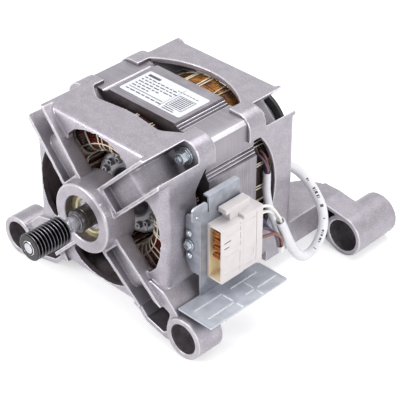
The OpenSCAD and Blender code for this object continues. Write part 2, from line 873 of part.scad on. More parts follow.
// Four arms: a solid bar on each diagonal, open underneath, with a channel cut from outside.
// The outline runs along the diagonal, from the hub to the corner.
corner_reach = case_half * diagonal - corner_r * (diagonal - 1);
module arm_bar(width, pts, angles = [45, 135, 225, 315]) {
  for (a = angles)
    rotate(a) rotate([90, 0, 0]) translate([0, 0, -width / 2]) linear_extrude(width) polygon(pts);
}
module arms_solid(depth, rise, corner_rise, floor_rise) {
  floor_top = depth + floor_rise;
  under = floor_top - floor_t;
  intersection() {
    arm_bar(arm_w, rounded([
      [16, under, 0],
      [pad_start - floor_t - 6, under, 0],
      [pad_start - floor_t, under - 7, 0],
      [pad_start - floor_t - 0.5, 0, 0],
      [corner_reach + 4, 0, 0],
      [corner_reach + 4, depth + corner_rise, 0],
      [24, depth + rise, 0],
      [16, depth + rise, 0]
    ]));
    linear_extrude(depth + rise + cut) round_square(case_half, corner_r);
  }
}
module channels(depth, rise, floor_rise, hub_d, low_reach) {
  floor_top = depth + floor_rise;
  for (low = [false, true])
    let (reach = low ? low_reach : corner_reach + 12)
      arm_bar(2 * channel_half, rounded([
        [hub_d / 2 + 1.5, floor_top, 0],
        [pad_start - 3, floor_top, 5],
        [pad_start, pad_t, 4],
        [reach, pad_t, 0],
        [reach, depth + rise + 9, 0],
        [hub_d / 2 + 1.5, depth + rise + 9, 0]
      ]), low ? [225, 315] : [45, 135]);
}

// The hub, with ribs of the arm walls running into it
module hub(d, bottom, top) {
  edge = 1.2;
  rotate_extrude()
    polygon(rounded([
      [8, bottom, 0],
      [d / 2 + 1, bottom, 0],
      [d / 2, top, edge],
      [8, top, 0]
    ], 3));
}

module bolt_holes() {
  for (sx = [-1, 1], sy = [-1, 1])
    translate([sx * bolt_at, sy * bolt_at, -cut]) cylinder(h = pad_t + 2 * cut, d = bolt_d + bolt_play);
}

module lug(d, start, length) {
  translate([lug_x, -lug_z, start]) cylinder(h = length, d = d);
}
module lug_hole(bore, start, length) {
  translate([lug_x, -lug_z, start - cut]) cylinder(h = length + 2 * cut, d = bore);
}
// Clears the arm's own metal in front of or behind the lug's end
module lug_relief(d, start) {
  translate([lug_x, -lug_z, 0]) cylinder(h = start, d = d);
}
module both_sides() {
  children();
  mirror([1, 0, 0]) children();
}

// Outline of the box that joins a front lug to the bracket, seen along the shaft
front_lug_r = front_lug_d / 2;
front_box = rounded([
  [case_half - 11, -28, 0],
  [case_half, -31, 3],
  [lug_x - 0.49 * front_lug_r, -lug_z + 0.9 * front_lug_r, 0],
  [lug_x, -lug_z, 0],
  [lug_x - 0.78 * front_lug_r, -lug_z - 0.71 * front_lug_r, 0],
  [lug_x - 17, -lug_z - 10.2, 4],
  [case_half - 15, -case_half - 5.5, 5],
  [case_half - 20.5, -case_half, 3],
  [case_half - 26, -case_half + 2, 0]
]);
// The pocket in that box, open to the front
front_pocket = rounded([
  [case_half - 10, -37, 3],
  [lug_x - 12.6, -lug_z + 10, 2],
  [lug_x - 15, -lug_z + 3, 0],
  [lug_x - 15.5, -lug_z - 4, 1.5],
  [lug_x - 18.5, -lug_z - 6.3, 1.5],
  [case_half - 13.8, -case_half - 2, 3],
  [case_half - 18.8, -case_half + 3.3, 1]
]);

front_lug_start = front_depth + front_lug_out - front_lug_len;
front_lug_end = front_depth + front_lug_out;
rear_lug_r = rear_lug_d / 2;
// How far the arms stand over the walls: at the hub, at the corner and on the channel's floor
rise_front = 7;
corner_front = 4;
floor_front = 1.3;
rise_rear = 6;
corner_rear = -1.8;
floor_rear = -1;
box_wall = 3.4;
box_start = 4;

boss_half_z = 12;
boss_mid_z = -3;
flange_y = 57.5;
flange_back = stack_front - flange_y - sheet;
screw_x = 58.6;
screw_z = -4;
rivet_spread = 7.8;
plate_screw_d = 4;
boss_out = screw_x + plate_screw_d;

module front_bracket() {
  color("#b4b0b6")
  at_front()
    difference() {
      union() {
        bracket_walls(front_depth, front_scoop, front_hub_d);
        arms_solid(front_depth, rise_front, corner_front, floor_front);
        hub(front_hub_d, front_hub_h - front_lip - front_bearing_w - 4, front_hub_h);
        both_sides() {
          translate([0, 0, box_start]) linear_extrude(front_depth + 2 - box_start) polygon(front_box);
          lug(front_lug_d, front_lug_start, front_lug_len);
        }
        translate([case_half - wall, boss_mid_z - boss_half_z, 8])
          cube([boss_out - case_half + wall, 2 * boss_half_z, flange_back - seat_gap - 8]);
      }
      channels(front_depth, rise_front, floor_front, front_hub_d, bolt_r + 11);
      both_sides() {
        translate([0, 0, pad_t]) linear_extrude(front_depth) polygon(front_pocket);
        lug_hole(front_lug_bore, front_lug_start, front_lug_len);
        lug_relief(front_lug_d, front_lug_start);
      }
      bolt_holes();
      translate([0, 0, front_hub_h - front_lip - cut]) cylinder(h = front_lip + 2 * cut, d = front_mouth_d);
      translate([0, 0, front_hub_h - 0.8]) cylinder(h = 1, d1 = front_mouth_d, d2 = front_mouth_d + 2);
      cylinder(h = front_hub_h - front_lip, d = front_bearing_od + 2 * seat_gap);
      translate([screw_x, screw_z, flange_back - 9]) cylinder(h = 9 + cut, d = plate_screw_d + 0.4);
      for (side = [-1, 1])
        translate([screw_x, screw_z + side * rivet_spread, flange_back - 4])
          cylinder(h = 4 + cut, d = 2.6, $fn = 24);
    }
}

// Outline of the cast box of a rear lug, seen along the shaft
beam_top = -37;
beam_low = -56.5;
rear_lug_low = -lug_z - rear_lug_r;
rear_box = rounded([
  [case_half - 13, beam_top, 0],
  [case_half, beam_top, 0],
  [lug_x + 2.6, -lug_z + rear_lug_r - 0.25, 0],
  [lug_x, -lug_z, 0],
  [lug_x - 5, rear_lug_low + 0.9, 0],
  [case_half + 0.5, rear_lug_low + 6, 3],
  [case_half - 4, beam_low - 2, 0],
  [case_half - 13, beam_low, 0]
]);
// The pocket in that box, open to the front
rear_pocket = rounded([
  [case_half + 1.2, beam_top - 2.8, 2],
  [lug_x + 2, -lug_z + rear_lug_r - 2.6, 0],
  [lug_x, -lug_z, 0],
  [lug_x - 4, rear_lug_low + 3, 0],
  [case_half + 2.7, rear_lug_low + 7.4, 2]
]);
// The flat shelf that joins the box to the bracket, seen from above: X and depth
shelf_end = rear_lug_start + lug_web;
shelf_outline = rounded([
  [15, rear_depth - 3, 0],
  [case_half - 2, rear_depth - 3, 0],
  [case_half - 2, shelf_end - 0.4, 0],
  [43, shelf_end - 1.3, 6],
  [31, shelf_end - 5.5, 10],
  [19, shelf_end - 24, 30],
  [15, shelf_end - 40, 0]
]);

module rear_bracket() {
  beam_end = shelf_end - 2;
  beam_in = case_half - 15;
  pad_relief = 0.1; // the hollow beam is cast a little lower than the pad's face
  color("#b4b0b6")
  at_rear()
    difference() {
      union() {
        difference() {
          union() {
            bracket_walls(rear_depth, rear_scoop, rear_hub_d);
            arms_solid(rear_depth, rise_rear, corner_rear, floor_rear);
            hub(rear_hub_d, rear_depth - web - 2, rear_hub_h);
            for (side = [-1, 1])
              translate([side * screw_r, 0, rear_hub_h - 11]) cylinder(h = 11, d = boss_d);
            both_sides()
              translate([beam_in, beam_low, rear_gap - 6])
                cube([case_half - beam_in, beam_top - beam_low, beam_end - rear_gap + 6]);
          }
          channels(rear_depth, rise_rear, floor_rear, rear_hub_d, bolt_r + 2.5);
        }
        both_sides() {
          translate([0, beam_top, 0]) rotate([90, 0, 0]) linear_extrude(box_wall) polygon(shelf_outline);
          translate([0, 0, rear_lug_start]) linear_extrude(lug_web) polygon(rear_box);
          lug(rear_lug_d, rear_lug_start, rear_lug_len);
        }
      }
      both_sides() {
        translate([beam_in + box_wall, beam_low + box_wall, pad_t - pad_relief])
          cube([case_half - beam_in - 2 * box_wall, beam_top - beam_low - 2 * box_wall, shelf_end]);
        difference() {
          translate([0, 0, rear_lug_start - cut])
            linear_extrude(lug_web - box_wall + cut) polygon(rear_pocket);
          lug(rear_lug_d, 0, rear_lug_start + rear_lug_len);
        }
        lug_hole(rear_lug_bore, rear_lug_start, rear_lug_len);
      }
      bolt_holes();
      cylinder(h = rear_hub_h, d = shoulder_d);
      translate([0, 0, rear_seat_start]) cylinder(h = rear_hub_h, d = rear_bearing_od + 2 * seat_gap);
      translate([0, 0, chamber_y - stack_rear]) cylinder(h = rear_hub_h, d = chamber_d);
      for (side = [-1, 1])
        translate([side * screw_r, 0, rear_hub_h - 9]) cylinder(h = 9 + cut, d = screw_d);
    }
}

/* Clamp bolts: heads on the rear pads, nuts on the front pads */

module at_bolts() {
  for (sx = [-1, 1], sz = [-1, 1])
    translate([sx * bolt_at, 0, sz * bolt_at]) children();
}
front_pad_y = stack_front - pad_t;
rear_pad_y = stack_rear + pad_t;
nut_y = front_pad_y - 2 * washer_t - seat_gap - nut_h;

module clamp_bolts() {
  color("#aeb2b8")
  at_bolts()
    along_y(nut_y - thread_out) {
      cylinder(h = rear_pad_y + washer_t + seat_gap + nut_h / 2 - nut_y + thread_out, d = bolt_d);
      translate([0, 0, rear_pad_y + washer_t + seat_gap - nut_y + thread_out])
        cylinder(h = nut_h, r = nut_af / sqrt(3), $fn = 6);
    }
}
module clamp_nuts() {
  color("#b4b8be")
  at_bolts()
    along_y(nut_y)
      difference() {
        cylinder(h = nut_h, r = nut_af / sqrt(3), $fn = 6);
        translate([0, 0, -cut]) cylinder(h = nut_h + 2 * cut, d = bolt_d + 2 * seat_gap);
      }
}
module ring_washer(y, d) {
  along_y(y)
    difference() {
      cylinder(h = washer_t - 0.02, d = d);
      translate([0, 0, -cut]) cylinder(h = washer_t + 2 * cut, d = bolt_d + 0.4);
    }
}
module clamp_washers() {
  color("#b0b4ba")
  at_bolts() {
    ring_washer(front_pad_y - washer_t, nut_af + 3);
    ring_washer(front_pad_y - 2 * washer_t - 0.01, nut_af + 1);
    ring_washer(rear_pad_y + 0.02, nut_af + 3);
  }
}

/* Connector bracket: an upright sheet with a flange, two tabs and a foot plate */

upright_front = flange_y;
foot_rear = foot_y + foot_len;
conn_x = upright_x + sheet + seat_gap;
conn_front = 63;
conn_top = 12;
conn_low = conn_top - conn_h;
header_end = conn_front + header_len;
cover_end = header_end + seat_gap + cover_len;
flange_x = case_half + 0.5;
flange_top = 16;
flange_low = -22.5;

// A bead pressed into the foot plate
module bead(x, y, length, across) {
  w = 0.9;
  h = 0.45;
  translate([x, y, foot_z - cut])
    cube(across ? [length, w, h + cut] : [w, length, h + cut]);
}
module connector_bracket() {
  tab_start = upright_front + 6.7;
  tab_end = upright_front + 32.2;
  tab_top = conn_top + 18;
  bead_in = upright_x + sheet + 7;
  bead_out = upright_x + sheet + foot_w - 7.5;
  cross = foot_y + foot_len / 2 - 4;
  color("#a9b2bc")
  difference() {
    union() {
      translate([upright_x, 0, 0])
        rotate([90, 0, 90])
          linear_extrude(sheet)
            polygon(rounded([
              [upright_front, foot_z - sheet, 0],
              [foot_rear - 3, foot_z - sheet, 0],
              [foot_rear - 3, foot_z + 9, 2],
              [cover_end + 1, foot_z + 12, 2],
              [cover_end + 1, conn_top, 0],
              [tab_end, conn_top, 1],
              [tab_end, tab_top, 0.8],
              [tab_start, tab_top, 0.8],
              [tab_start, flange_top + 3, 0.3],
              [tab_start - 1, flange_top + 3, 0.3],
              [tab_start - 1, conn_top + 15, 2],
              [upright_front - 6.5, conn_top + 15, 2.4],
              [upright_front - 6.5, flange_top + 1.5, 2.4],
              [upright_front, flange_top + 0.5, 0.8]
            ], 3));
      translate([flange_x, flange_y, 0])
        rotate([90, 0, 0]) translate([0, 0, -sheet])
          linear_extrude(sheet)
            polygon(rounded([
              [0, flange_low + 6, 2],
              [5, flange_low, 2],
              [upright_x + sheet - flange_x, flange_low, 0],
              [upright_x + sheet - flange_x, flange_top, 0],
              [0, flange_top, 2]
            ], 3));
      translate([upright_x, 0, foot_z - sheet])
        linear_extrude(sheet)
          polygon(rounded([
            [0, foot_y, 0],
            [foot_w + sheet, foot_y, 1],
            [foot_w + sheet, foot_rear, 1],
            [4, foot_rear, 1],
            [0, foot_rear - 4, 0]
          ], 3));
      translate([upright_x - 3, tab_start, tab_top - sheet]) cube([3 + sheet, tab_end - tab_start, sheet]);
      bead(bead_in, foot_y + 5, 22, false);
      bead(bead_in, cross + 6, 22, false);
      bead(bead_out, foot_y + 5, 21, false);
      bead(bead_out, cross + 8, 6.5, false);
      bead(bead_out, cross + 18, 16, false);
      bead(bead_in + 1.6, cross - 2, foot_w - 17, true);
      bead(bead_in + 1.6, cross + 15, foot_w - 17, true);
      bead(bead_out + 2, cross - 2, 5, true);
      bead(bead_out + 2, cross + 15, 5, true);
    }
    translate([screw_x, flange_y - cut, screw_z])
      rotate([-90, 0, 0]) cylinder(h = sheet + 2 * cut, d = plate_screw_d + 0.4);
    for (side = [-1, 1])
      translate([screw_x, flange_y - cut, screw_z + side * rivet_spread])
        rotate([-90, 0, 0]) cylinder(h = sheet + 2 * cut, d = 2.6, $fn = 24);
    translate([upright_x - cut, upright_front - 3, conn_top + 8])
      rotate([0, 90, 0]) cylinder(h = sheet + 2 * cut, d = 2, $fn = 20);
  }
}

module bracket_screw() {
  head_d = 7.4;
  head_h = 3;
  color("#c6cad0")
  translate([screw_x, 0, screw_z])
    difference() {
      union() {
        along_y(flange_y - seat_gap) cylinder(h = 9, d = plate_screw_d);
        along_y(flange_y - seat_gap - 1) cylinder(h = 1, d = head_d);
        translate([0, flange_y - seat_gap - 1, 0])
          rotate([90, 0, 0])
            intersection() {
              cylinder(h = head_h - 1, d = head_d - 1.4);
              translate([0, 0, -3]) sphere(r = head_d - 2.4, $fn = 48);
            }
      }
      translate([0, flange_y - head_h, 0]) cube([3.8, 2.4, 0.9], center = true);
      translate([0, flange_y - head_h, 0]) cube([0.9, 2.4, 3.8], center = true);
    }
}
module bracket_rivets() {
  color("#b9bec5")
  for (side = [-1, 1])
    translate([screw_x, 0, screw_z + side * rivet_spread]) {
      along_y(flange_y - 1) cylinder(h = sheet + 4.2, d = 2.5, $fn = 24);
      translate([0, flange_y - seat_gap, 0])
        difference() {
          sphere(d = 4.6, $fn = 32);
          translate([-4, 0, -4]) cube(8);
        }
    }
}

/* Connector */

contact_first = 7.2;
contact_n = 5;
mouth_deep = 14;
module connector_header() {
  pocket_z = contact_first - 3.5 * contact_pitch;
  color("#ece9e2")
  difference() {
    union() {
      translate([conn_x, conn_front, conn_low]) cube([conn_w, header_len, conn_h]);
      translate([conn_x + 1, header_end - 5, conn_low - 1.8]) cube([conn_w - 3, 5, 1.8 + cut]);
    }
    translate([conn_x + header_wall, conn_front - cut, pocket_z])
      cube([conn_w - 2 * header_wall, mouth_deep + cut, conn_top - header_wall - pocket_z]);
    translate([conn_x + header_wall, conn_front - cut, conn_low + header_wall])
      cube([conn_w - 2 * header_wall, 8 + cut, pocket_z - conn_low - header_wall + cut]);
    for (i = [0:contact_n - 1])
      translate([conn_x + conn_w / 2 - 0.6, conn_front, contact_first - i * contact_pitch - 1.7])
        cube([1.2, header_len + cut, 3.4]);
  }
}
module connector_terminals() {
  blade_t = 0.8;
  blade_h = 3;
  color("#c8641c")
  for (i = [0:contact_n - 1])
    let (front = i < 4 ? conn_front + 2.5 : conn_front + 10)
      translate([conn_x + conn_w / 2 - blade_t / 2, front, contact_first - i * contact_pitch])
        rotate([90, 0, 90])
          linear_extrude(blade_t)
            polygon([
              [0, 0],
              [1.6, -blade_h / 2],
              [conn_front + header_len - front - 0.5, -blade_h / 2],
              [conn_front + header_len - front - 0.5, blade_h / 2],
              [1.6, blade_h / 2]
            ]);
}
module connector_cover() {
  latch_h = 8;
  color("#efece6")
  difference() {
    union() {
      translate([conn_x, header_end + seat_gap, conn_low + 0.5]) cube([conn_w, cover_len, conn_h + 1.5]);
      translate([conn_x + 0.8, header_end - 7, conn_top + seat_gap]) cube([6.2, 17, latch_h]);
      translate([conn_x + 0.8, header_end - 10, conn_top + latch_h - 3]) cube([6.2, 4, 3 + seat_gap]);
    }
    for (i = [0:contact_n - 1])
      translate([conn_x + conn_w / 2, cover_end - 7, contact_first - i * contact_pitch])
        rotate([-90, 0, 0]) cylinder(h = 8, d = 3.4, $fn = 24);
  }
}

/* Leads */

// The long sleeve: from its mouth under the connector, down and round the side of the
// rear bracket, and in through the rear window to the winding
sleeve_route = [
  [75.5, 116, -9],
  [75.2, 120.5, -18.5],
  [75, 126, -30],
  [75.4, 131.5, -40],
  [76.8, 137.5, -45.6],
  [78.8, 143.8, -43],
  [79.6, 149, -36],
  [78, 153.6, -28.6],
  [73, 157.8, -22.2],
  [65.5, 161, -17],
  [57, 162.6, -11.6],
  [49.5, 161.4, -6.8],
  [44.4, 157.4, -3.6],
  [42.2, 151.5, -1.8],
  [41.4, 146.4, -1.1],
  [41.4, 141.6, -1]
];
// The short sleeve: from beside the winding down the gap next to the stack, then out
// and up, with its mouth under the connector's rear
short_route = [
  [52.1, 129.8, 8],
  [52.2, 129.6, 2],
  [53, 129, -5],
  [55, 128.6, -12],
  [58.2, 128.4, -19],
  [61.6, 128.4, -25],
  [64.8, 127.6, -30],
  [67.6, 125.8, -33.4],
  [70.6, 123, -34.8],
  [73, 120.4, -32.8],
  [73.8, 118.8, -28.6]
];
wire_start = cover_end - 6.8;
wire_x = conn_x + conn_w / 2;
// Where a lead meets its sleeve: beside the middle of the sleeve's mouth
function at_mouth(mouth, inward, back, aside, angle) =
  let (
    t = unit(inward),
    u = unit(cross(t, [0, 1, 0])),
    v = cross(t, u)
  )
  mouth - t * back + aside * (cos(angle) * u + sin(angle) * v);
short_mouth = short_route[len(short_route) - 1];
short_inward = short_route[len(short_route) - 2] - short_mouth;
function power_route(i) =
  let (
    z = contact_first - (2 + i) * contact_pitch,
    side = power_lead_d * 0.6,
    angle = 210 - 120 * i
  )
  [
    [wire_x, wire_start, z],
    [wire_x, cover_end, z],
    [wire_x + 0.8 + (i - 1) * 1.3, 103.6 - i * 0.6, z - 0.8],
    [74.8 + (i - 1) * 2.8, 109.6, -12.4 - i * 0.7],
    at_mouth(short_mouth, short_inward, 8, side + 0.1, angle),
    at_mouth(short_mouth, short_inward, 3, side, angle),
    at_mouth(short_mouth, short_inward, 0.2, side, angle)
  ];
long_inward = sleeve_route[1] - sleeve_route[0];
function signal_route(i) =
  let (
    z = contact_first - i * contact_pitch,
    side = signal_lead_d * 0.55,
    angle = 180 * i
  )
  [
    [wire_x, wire_start, z],
    [wire_x, cover_end, z],
    [wire_x + 0.6, cover_end + 5, z + 0.2 + i * 0.6],
    [74.8 - i * 0.4, 108.4 - i * 1.2, 4.6 - i * 2.8],
    at_mouth(sleeve_route[0], long_inward, 5, side + 0.3, angle),
    at_mouth(sleeve_route[0], long_inward, 2, side, angle),
    at_mouth(sleeve_route[0], long_inward, 0.2, side, angle)
  ];
// The tube's first side, carried along its line without twist
function carried(pts) =
  [for (
    i = 0, v = unit(cross(along(pts, 0), [1, 0.2, 0]));
    i < len(pts);
    i = i + 1, v = unit(v - (v * along(pts, min(i, len(pts) - 1))) * along(pts, min(i, len(pts) - 1)))
  ) v];
module route_tube(pts, d, sides) {
  swept_tube(pts, carried(pts), d / 2, sides);
}
module lead_sleeve() {
  color("#f1f0ee") route_tube(sleeve_route, sleeve_d, 12);
}
module power_sleeve() {
  color("#efeeea") route_tube(short_route, short_sleeve_d, 12);
}
module lead_wires() {
  power_colors = ["#6b3a2a", "#57407a", "#2f4f9a"];
  for (i = [0:2])
    color(power_colors[i]) route_tube(power_route(i), power_lead_d, 8);
  color("#f2f1ef")
  for (i = [0:1]) route_tube(signal_route(i), signal_lead_d, 8);
}

module rating_label() {
  label_t = 0.15;
  color("#f4f4f6")
  translate([-label_w / 2, stack_front + (stack_len - label_l) / 2 - 1, half + 0.01])
    cube([label_w, label_l, label_t]);
}

front_bracket();
rear_bracket();
stator_core();
winding_core();
front_winding();
rear_winding();
rotor_core();
rotor_cage();
shaft();
drive_pulley();
shaft_collar();
front_bearing_outer();
front_bearing_inner();
front_bearing_balls();
front_bearing_cage();
front_bearing_seals();
rear_bearing_outer();
rear_bearing_inner();
rear_bearing_balls();
rear_bearing_cage();
rear_bearing_seals();
wave_washer();
clamp_bolts();
clamp_nuts();
clamp_washers();
tacho_magnet();
tacho_coil();
tacho_cap();
tacho_screws();
connector_bracket();
bracket_screw();
bracket_rivets();
connector_header();
connector_cover();
connector_terminals();
lead_sleeve();
power_sleeve();
lead_wires();
rating_label();
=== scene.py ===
import math
import random
from functools import partial

import bmesh
import bpy
from mathutils import Matrix, Vector


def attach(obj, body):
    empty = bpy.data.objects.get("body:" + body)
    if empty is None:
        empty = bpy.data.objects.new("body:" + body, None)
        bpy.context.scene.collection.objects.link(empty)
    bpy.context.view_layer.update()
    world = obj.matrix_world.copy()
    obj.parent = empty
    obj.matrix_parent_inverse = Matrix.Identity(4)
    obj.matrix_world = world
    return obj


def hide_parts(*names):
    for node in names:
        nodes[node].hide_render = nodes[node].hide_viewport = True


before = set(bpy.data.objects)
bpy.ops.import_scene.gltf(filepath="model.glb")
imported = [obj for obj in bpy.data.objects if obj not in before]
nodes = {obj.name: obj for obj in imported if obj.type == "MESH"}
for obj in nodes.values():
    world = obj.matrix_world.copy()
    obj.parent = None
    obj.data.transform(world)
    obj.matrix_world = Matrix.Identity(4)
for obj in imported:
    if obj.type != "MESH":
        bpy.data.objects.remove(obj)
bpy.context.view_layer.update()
scene = bpy.context.scene
scene.view_settings.view_transform = "Standard"
mm = 0.001  # every size below is in millimetres, as in the CAD
whiteLight = (1, 1, 1, 1)
mixA, mixB, mixOut = 6, 7, 2  # where a Mix node has its two colours and their blend
randomLow, randomHigh, randomOut = 2, 3, 1  # and a Random Value node its limits and result as a float


def linearColour(text):  # hex sRGB to the linear values that shaders take
    parts = [int(text[i:i + 2], 16) / 255 for i in (1, 3, 5)]
    return tuple(c / 12.92 if c <= 0.04045 else ((c + 0.055) / 1.055) ** 2.4 for c in parts) + (1.0,)


def addNode(tree, kind, inputs=None, **settings):  # a node with its settings, values and links
    node = tree.nodes.new(kind)
    for name, value in settings.items():
        setattr(node, name, value)
    for key, value in (inputs or {}).items():
        if isinstance(value, bpy.types.Node):
            value = value.outputs[0]
        if isinstance(value, bpy.types.NodeSocket):
            tree.links.new(value, node.inputs[key])
        else:
            node.inputs[key].default_value = value
    return node


def at(x, y, z):
    return Vector((x * mm, y * mm, z * mm))


def meshObject(name, mesh, finish=None):
    thing = bpy.data.objects.new(name, mesh)
    scene.collection.objects.link(thing)
    if finish:
        mesh.materials.append(finishes[finish])
    return thing


# The photograph's view: azimuth and elevation in degrees, the lens for a 36 mm sensor
cameraSettings = {"position": (559.8, -447.0, 516.9), "azimuth": 44.34, "elevation": 34.58, "lens": 138.7,
                  "sensor": 36}


def placeCamera(settings):
    az, el = math.radians(settings["azimuth"]), math.radians(settings["elevation"])
    forward = Vector((-math.sin(az) * math.cos(el), math.cos(az) * math.cos(el), -math.sin(el)))
    right = Vector((math.cos(az), math.sin(az), 0))
    up = right.cross(forward)
    camera = bpy.data.objects.new("camera", bpy.data.cameras.new("camera"))
    camera.data.lens = settings["lens"]
    camera.data.sensor_width = settings["sensor"]
    camera.matrix_world = Matrix((right, up, -forward)).transposed().to_4x4()
    camera.location = at(*settings["position"])
    scene.collection.objects.link(camera)
    scene.camera = camera


lightSettings = {
    "ambient": 0.43, "backdrop": 1.0,
    "lamps": {  # place, point it looks at, size and power of each soft box
        "topBox": ((60, 420, 900), (0, 90, 0), 700, 5.2),
        "frontBox": ((-420, -800, 420), (0, 60, 0), 450, 7.4),
        "rightBox": ((900, 60, 320), (0, 90, 0), 450, 3.7),
    },
}


def placeLights(settings):
    world = bpy.data.worlds.new("studio")
    scene.world = world
    world.use_nodes = True
    tree = world.node_tree
    tree.nodes.clear()
    seen = addNode(tree, "ShaderNodeLightPath").outputs
    white = seen["Is Camera Ray"]
    for ray in ("Is Glossy Ray", "Is Transmission Ray"):
        white = addNode(tree, "ShaderNodeMath", {0: white, 1: seen[ray]}, operation="MAXIMUM")
    ambient, backdrop = (addNode(tree, "ShaderNodeBackground", {"Color": whiteLight, "Strength": settings[part]})
                         for part in ("ambient", "backdrop"))
    mixed = addNode(tree, "ShaderNodeMixShader", {0: white, 1: ambient, 2: backdrop})
    addNode(tree, "ShaderNodeOutputWorld", {"Surface": mixed})
    for name, (place, target, size, power) in settings["lamps"].items():
        lamp = bpy.data.lights.new(name, "AREA")
        lamp.shape = "SQUARE"
        lamp.size = size * mm
        lamp.energy = power
        holder = bpy.data.objects.new(name, lamp)
        holder.location = at(*place)
        holder.rotation_euler = (at(*target) - at(*place)).to_track_quat("-Z", "Y").to_euler()
        scene.collection.objects.link(holder)


floorSettings = {"level": -68.2, "reach": 4000, "paper": "#f4f4f4", "glow": 0.45}


def layFloor(settings):
    material = bpy.data.materials.new("whitePaperSweep")  # pale paper: only the object's shadow shows on it
    material.use_nodes = True
    tree = material.node_tree
    tree.nodes.clear()
    paper = addNode(tree, "ShaderNodeBsdfDiffuse", {"Color": linearColour(settings["paper"])})
    glow = addNode(tree, "ShaderNodeEmission", {"Color": whiteLight, "Strength": settings["glow"]})
    lit = addNode(tree, "ShaderNodeAddShader", {0: paper, 1: glow})
    seen = addNode(tree, "ShaderNodeLightPath").outputs
    both = addNode(tree, "ShaderNodeMath", {0: seen["Is Camera Ray"], 1: seen["Is Glossy Ray"]}, operation="MAXIMUM")
    mixed = addNode(tree, "ShaderNodeMixShader", {0: both, 1: paper, 2: lit})
    addNode(tree, "ShaderNodeOutputMaterial", {"Surface": mixed})
    mesh = bpy.data.meshes.new("floor")
    reach = settings["reach"]
    corners = [at(x * reach, y * reach, settings["level"]) for x, y in ((-1, -1), (1, -1), (1, 1), (-1, 1))]
    mesh.from_pydata(corners, [], [(0, 1, 2, 3)])
    mesh.materials.append(material)
    meshObject("floor", mesh)


placeCamera(cameraSettings)
placeLights(lightSettings)
layFloor(floorSettings)
print("stage: camera, light and floor")


finishStyles = {  # patches with grit, fine lines across one axis, and moulded plastic or rubber with a soft sheen
    "mottled": {"gritShare": 0.0, "blend": (0.32, 0.68), "gloss": (0.09, 0.09), "strength": 0.5, "detail": 2.0},
    "lined": {"gritShare": 1.0, "blend": (0.78, 1.22), "gloss": (0.08, 0.12), "strength": 0.5, "detail": 2.0},
    "moulded": {"gritShare": 0.0, "blend": (0.0, 1.0), "gloss": (0.06, 0.06), "strength": 0.35, "detail": 1.0},
}
layerSettings = {  # where each layer over the two tones begins and is full, and how much of it shows at most
    "browned": (46 * mm, 24 * mm, 1.0), "specks": (0.56, 0.72), "speckTone": "#f2f0f3",
    "hollow": (0.49, 0.43, 0.75), "edge": (0.51, 0.56, 0.9), "occlusionShade": (0.8, 0.3), "occlusionShadeSamples": 8,
}
mouldGrain = 1 / 2.6
sheetLines, turnedLines = (40.0, 1500.0, 40.0), (30.0, 1600.0, 30.0)  # how often lines repeat in a metre

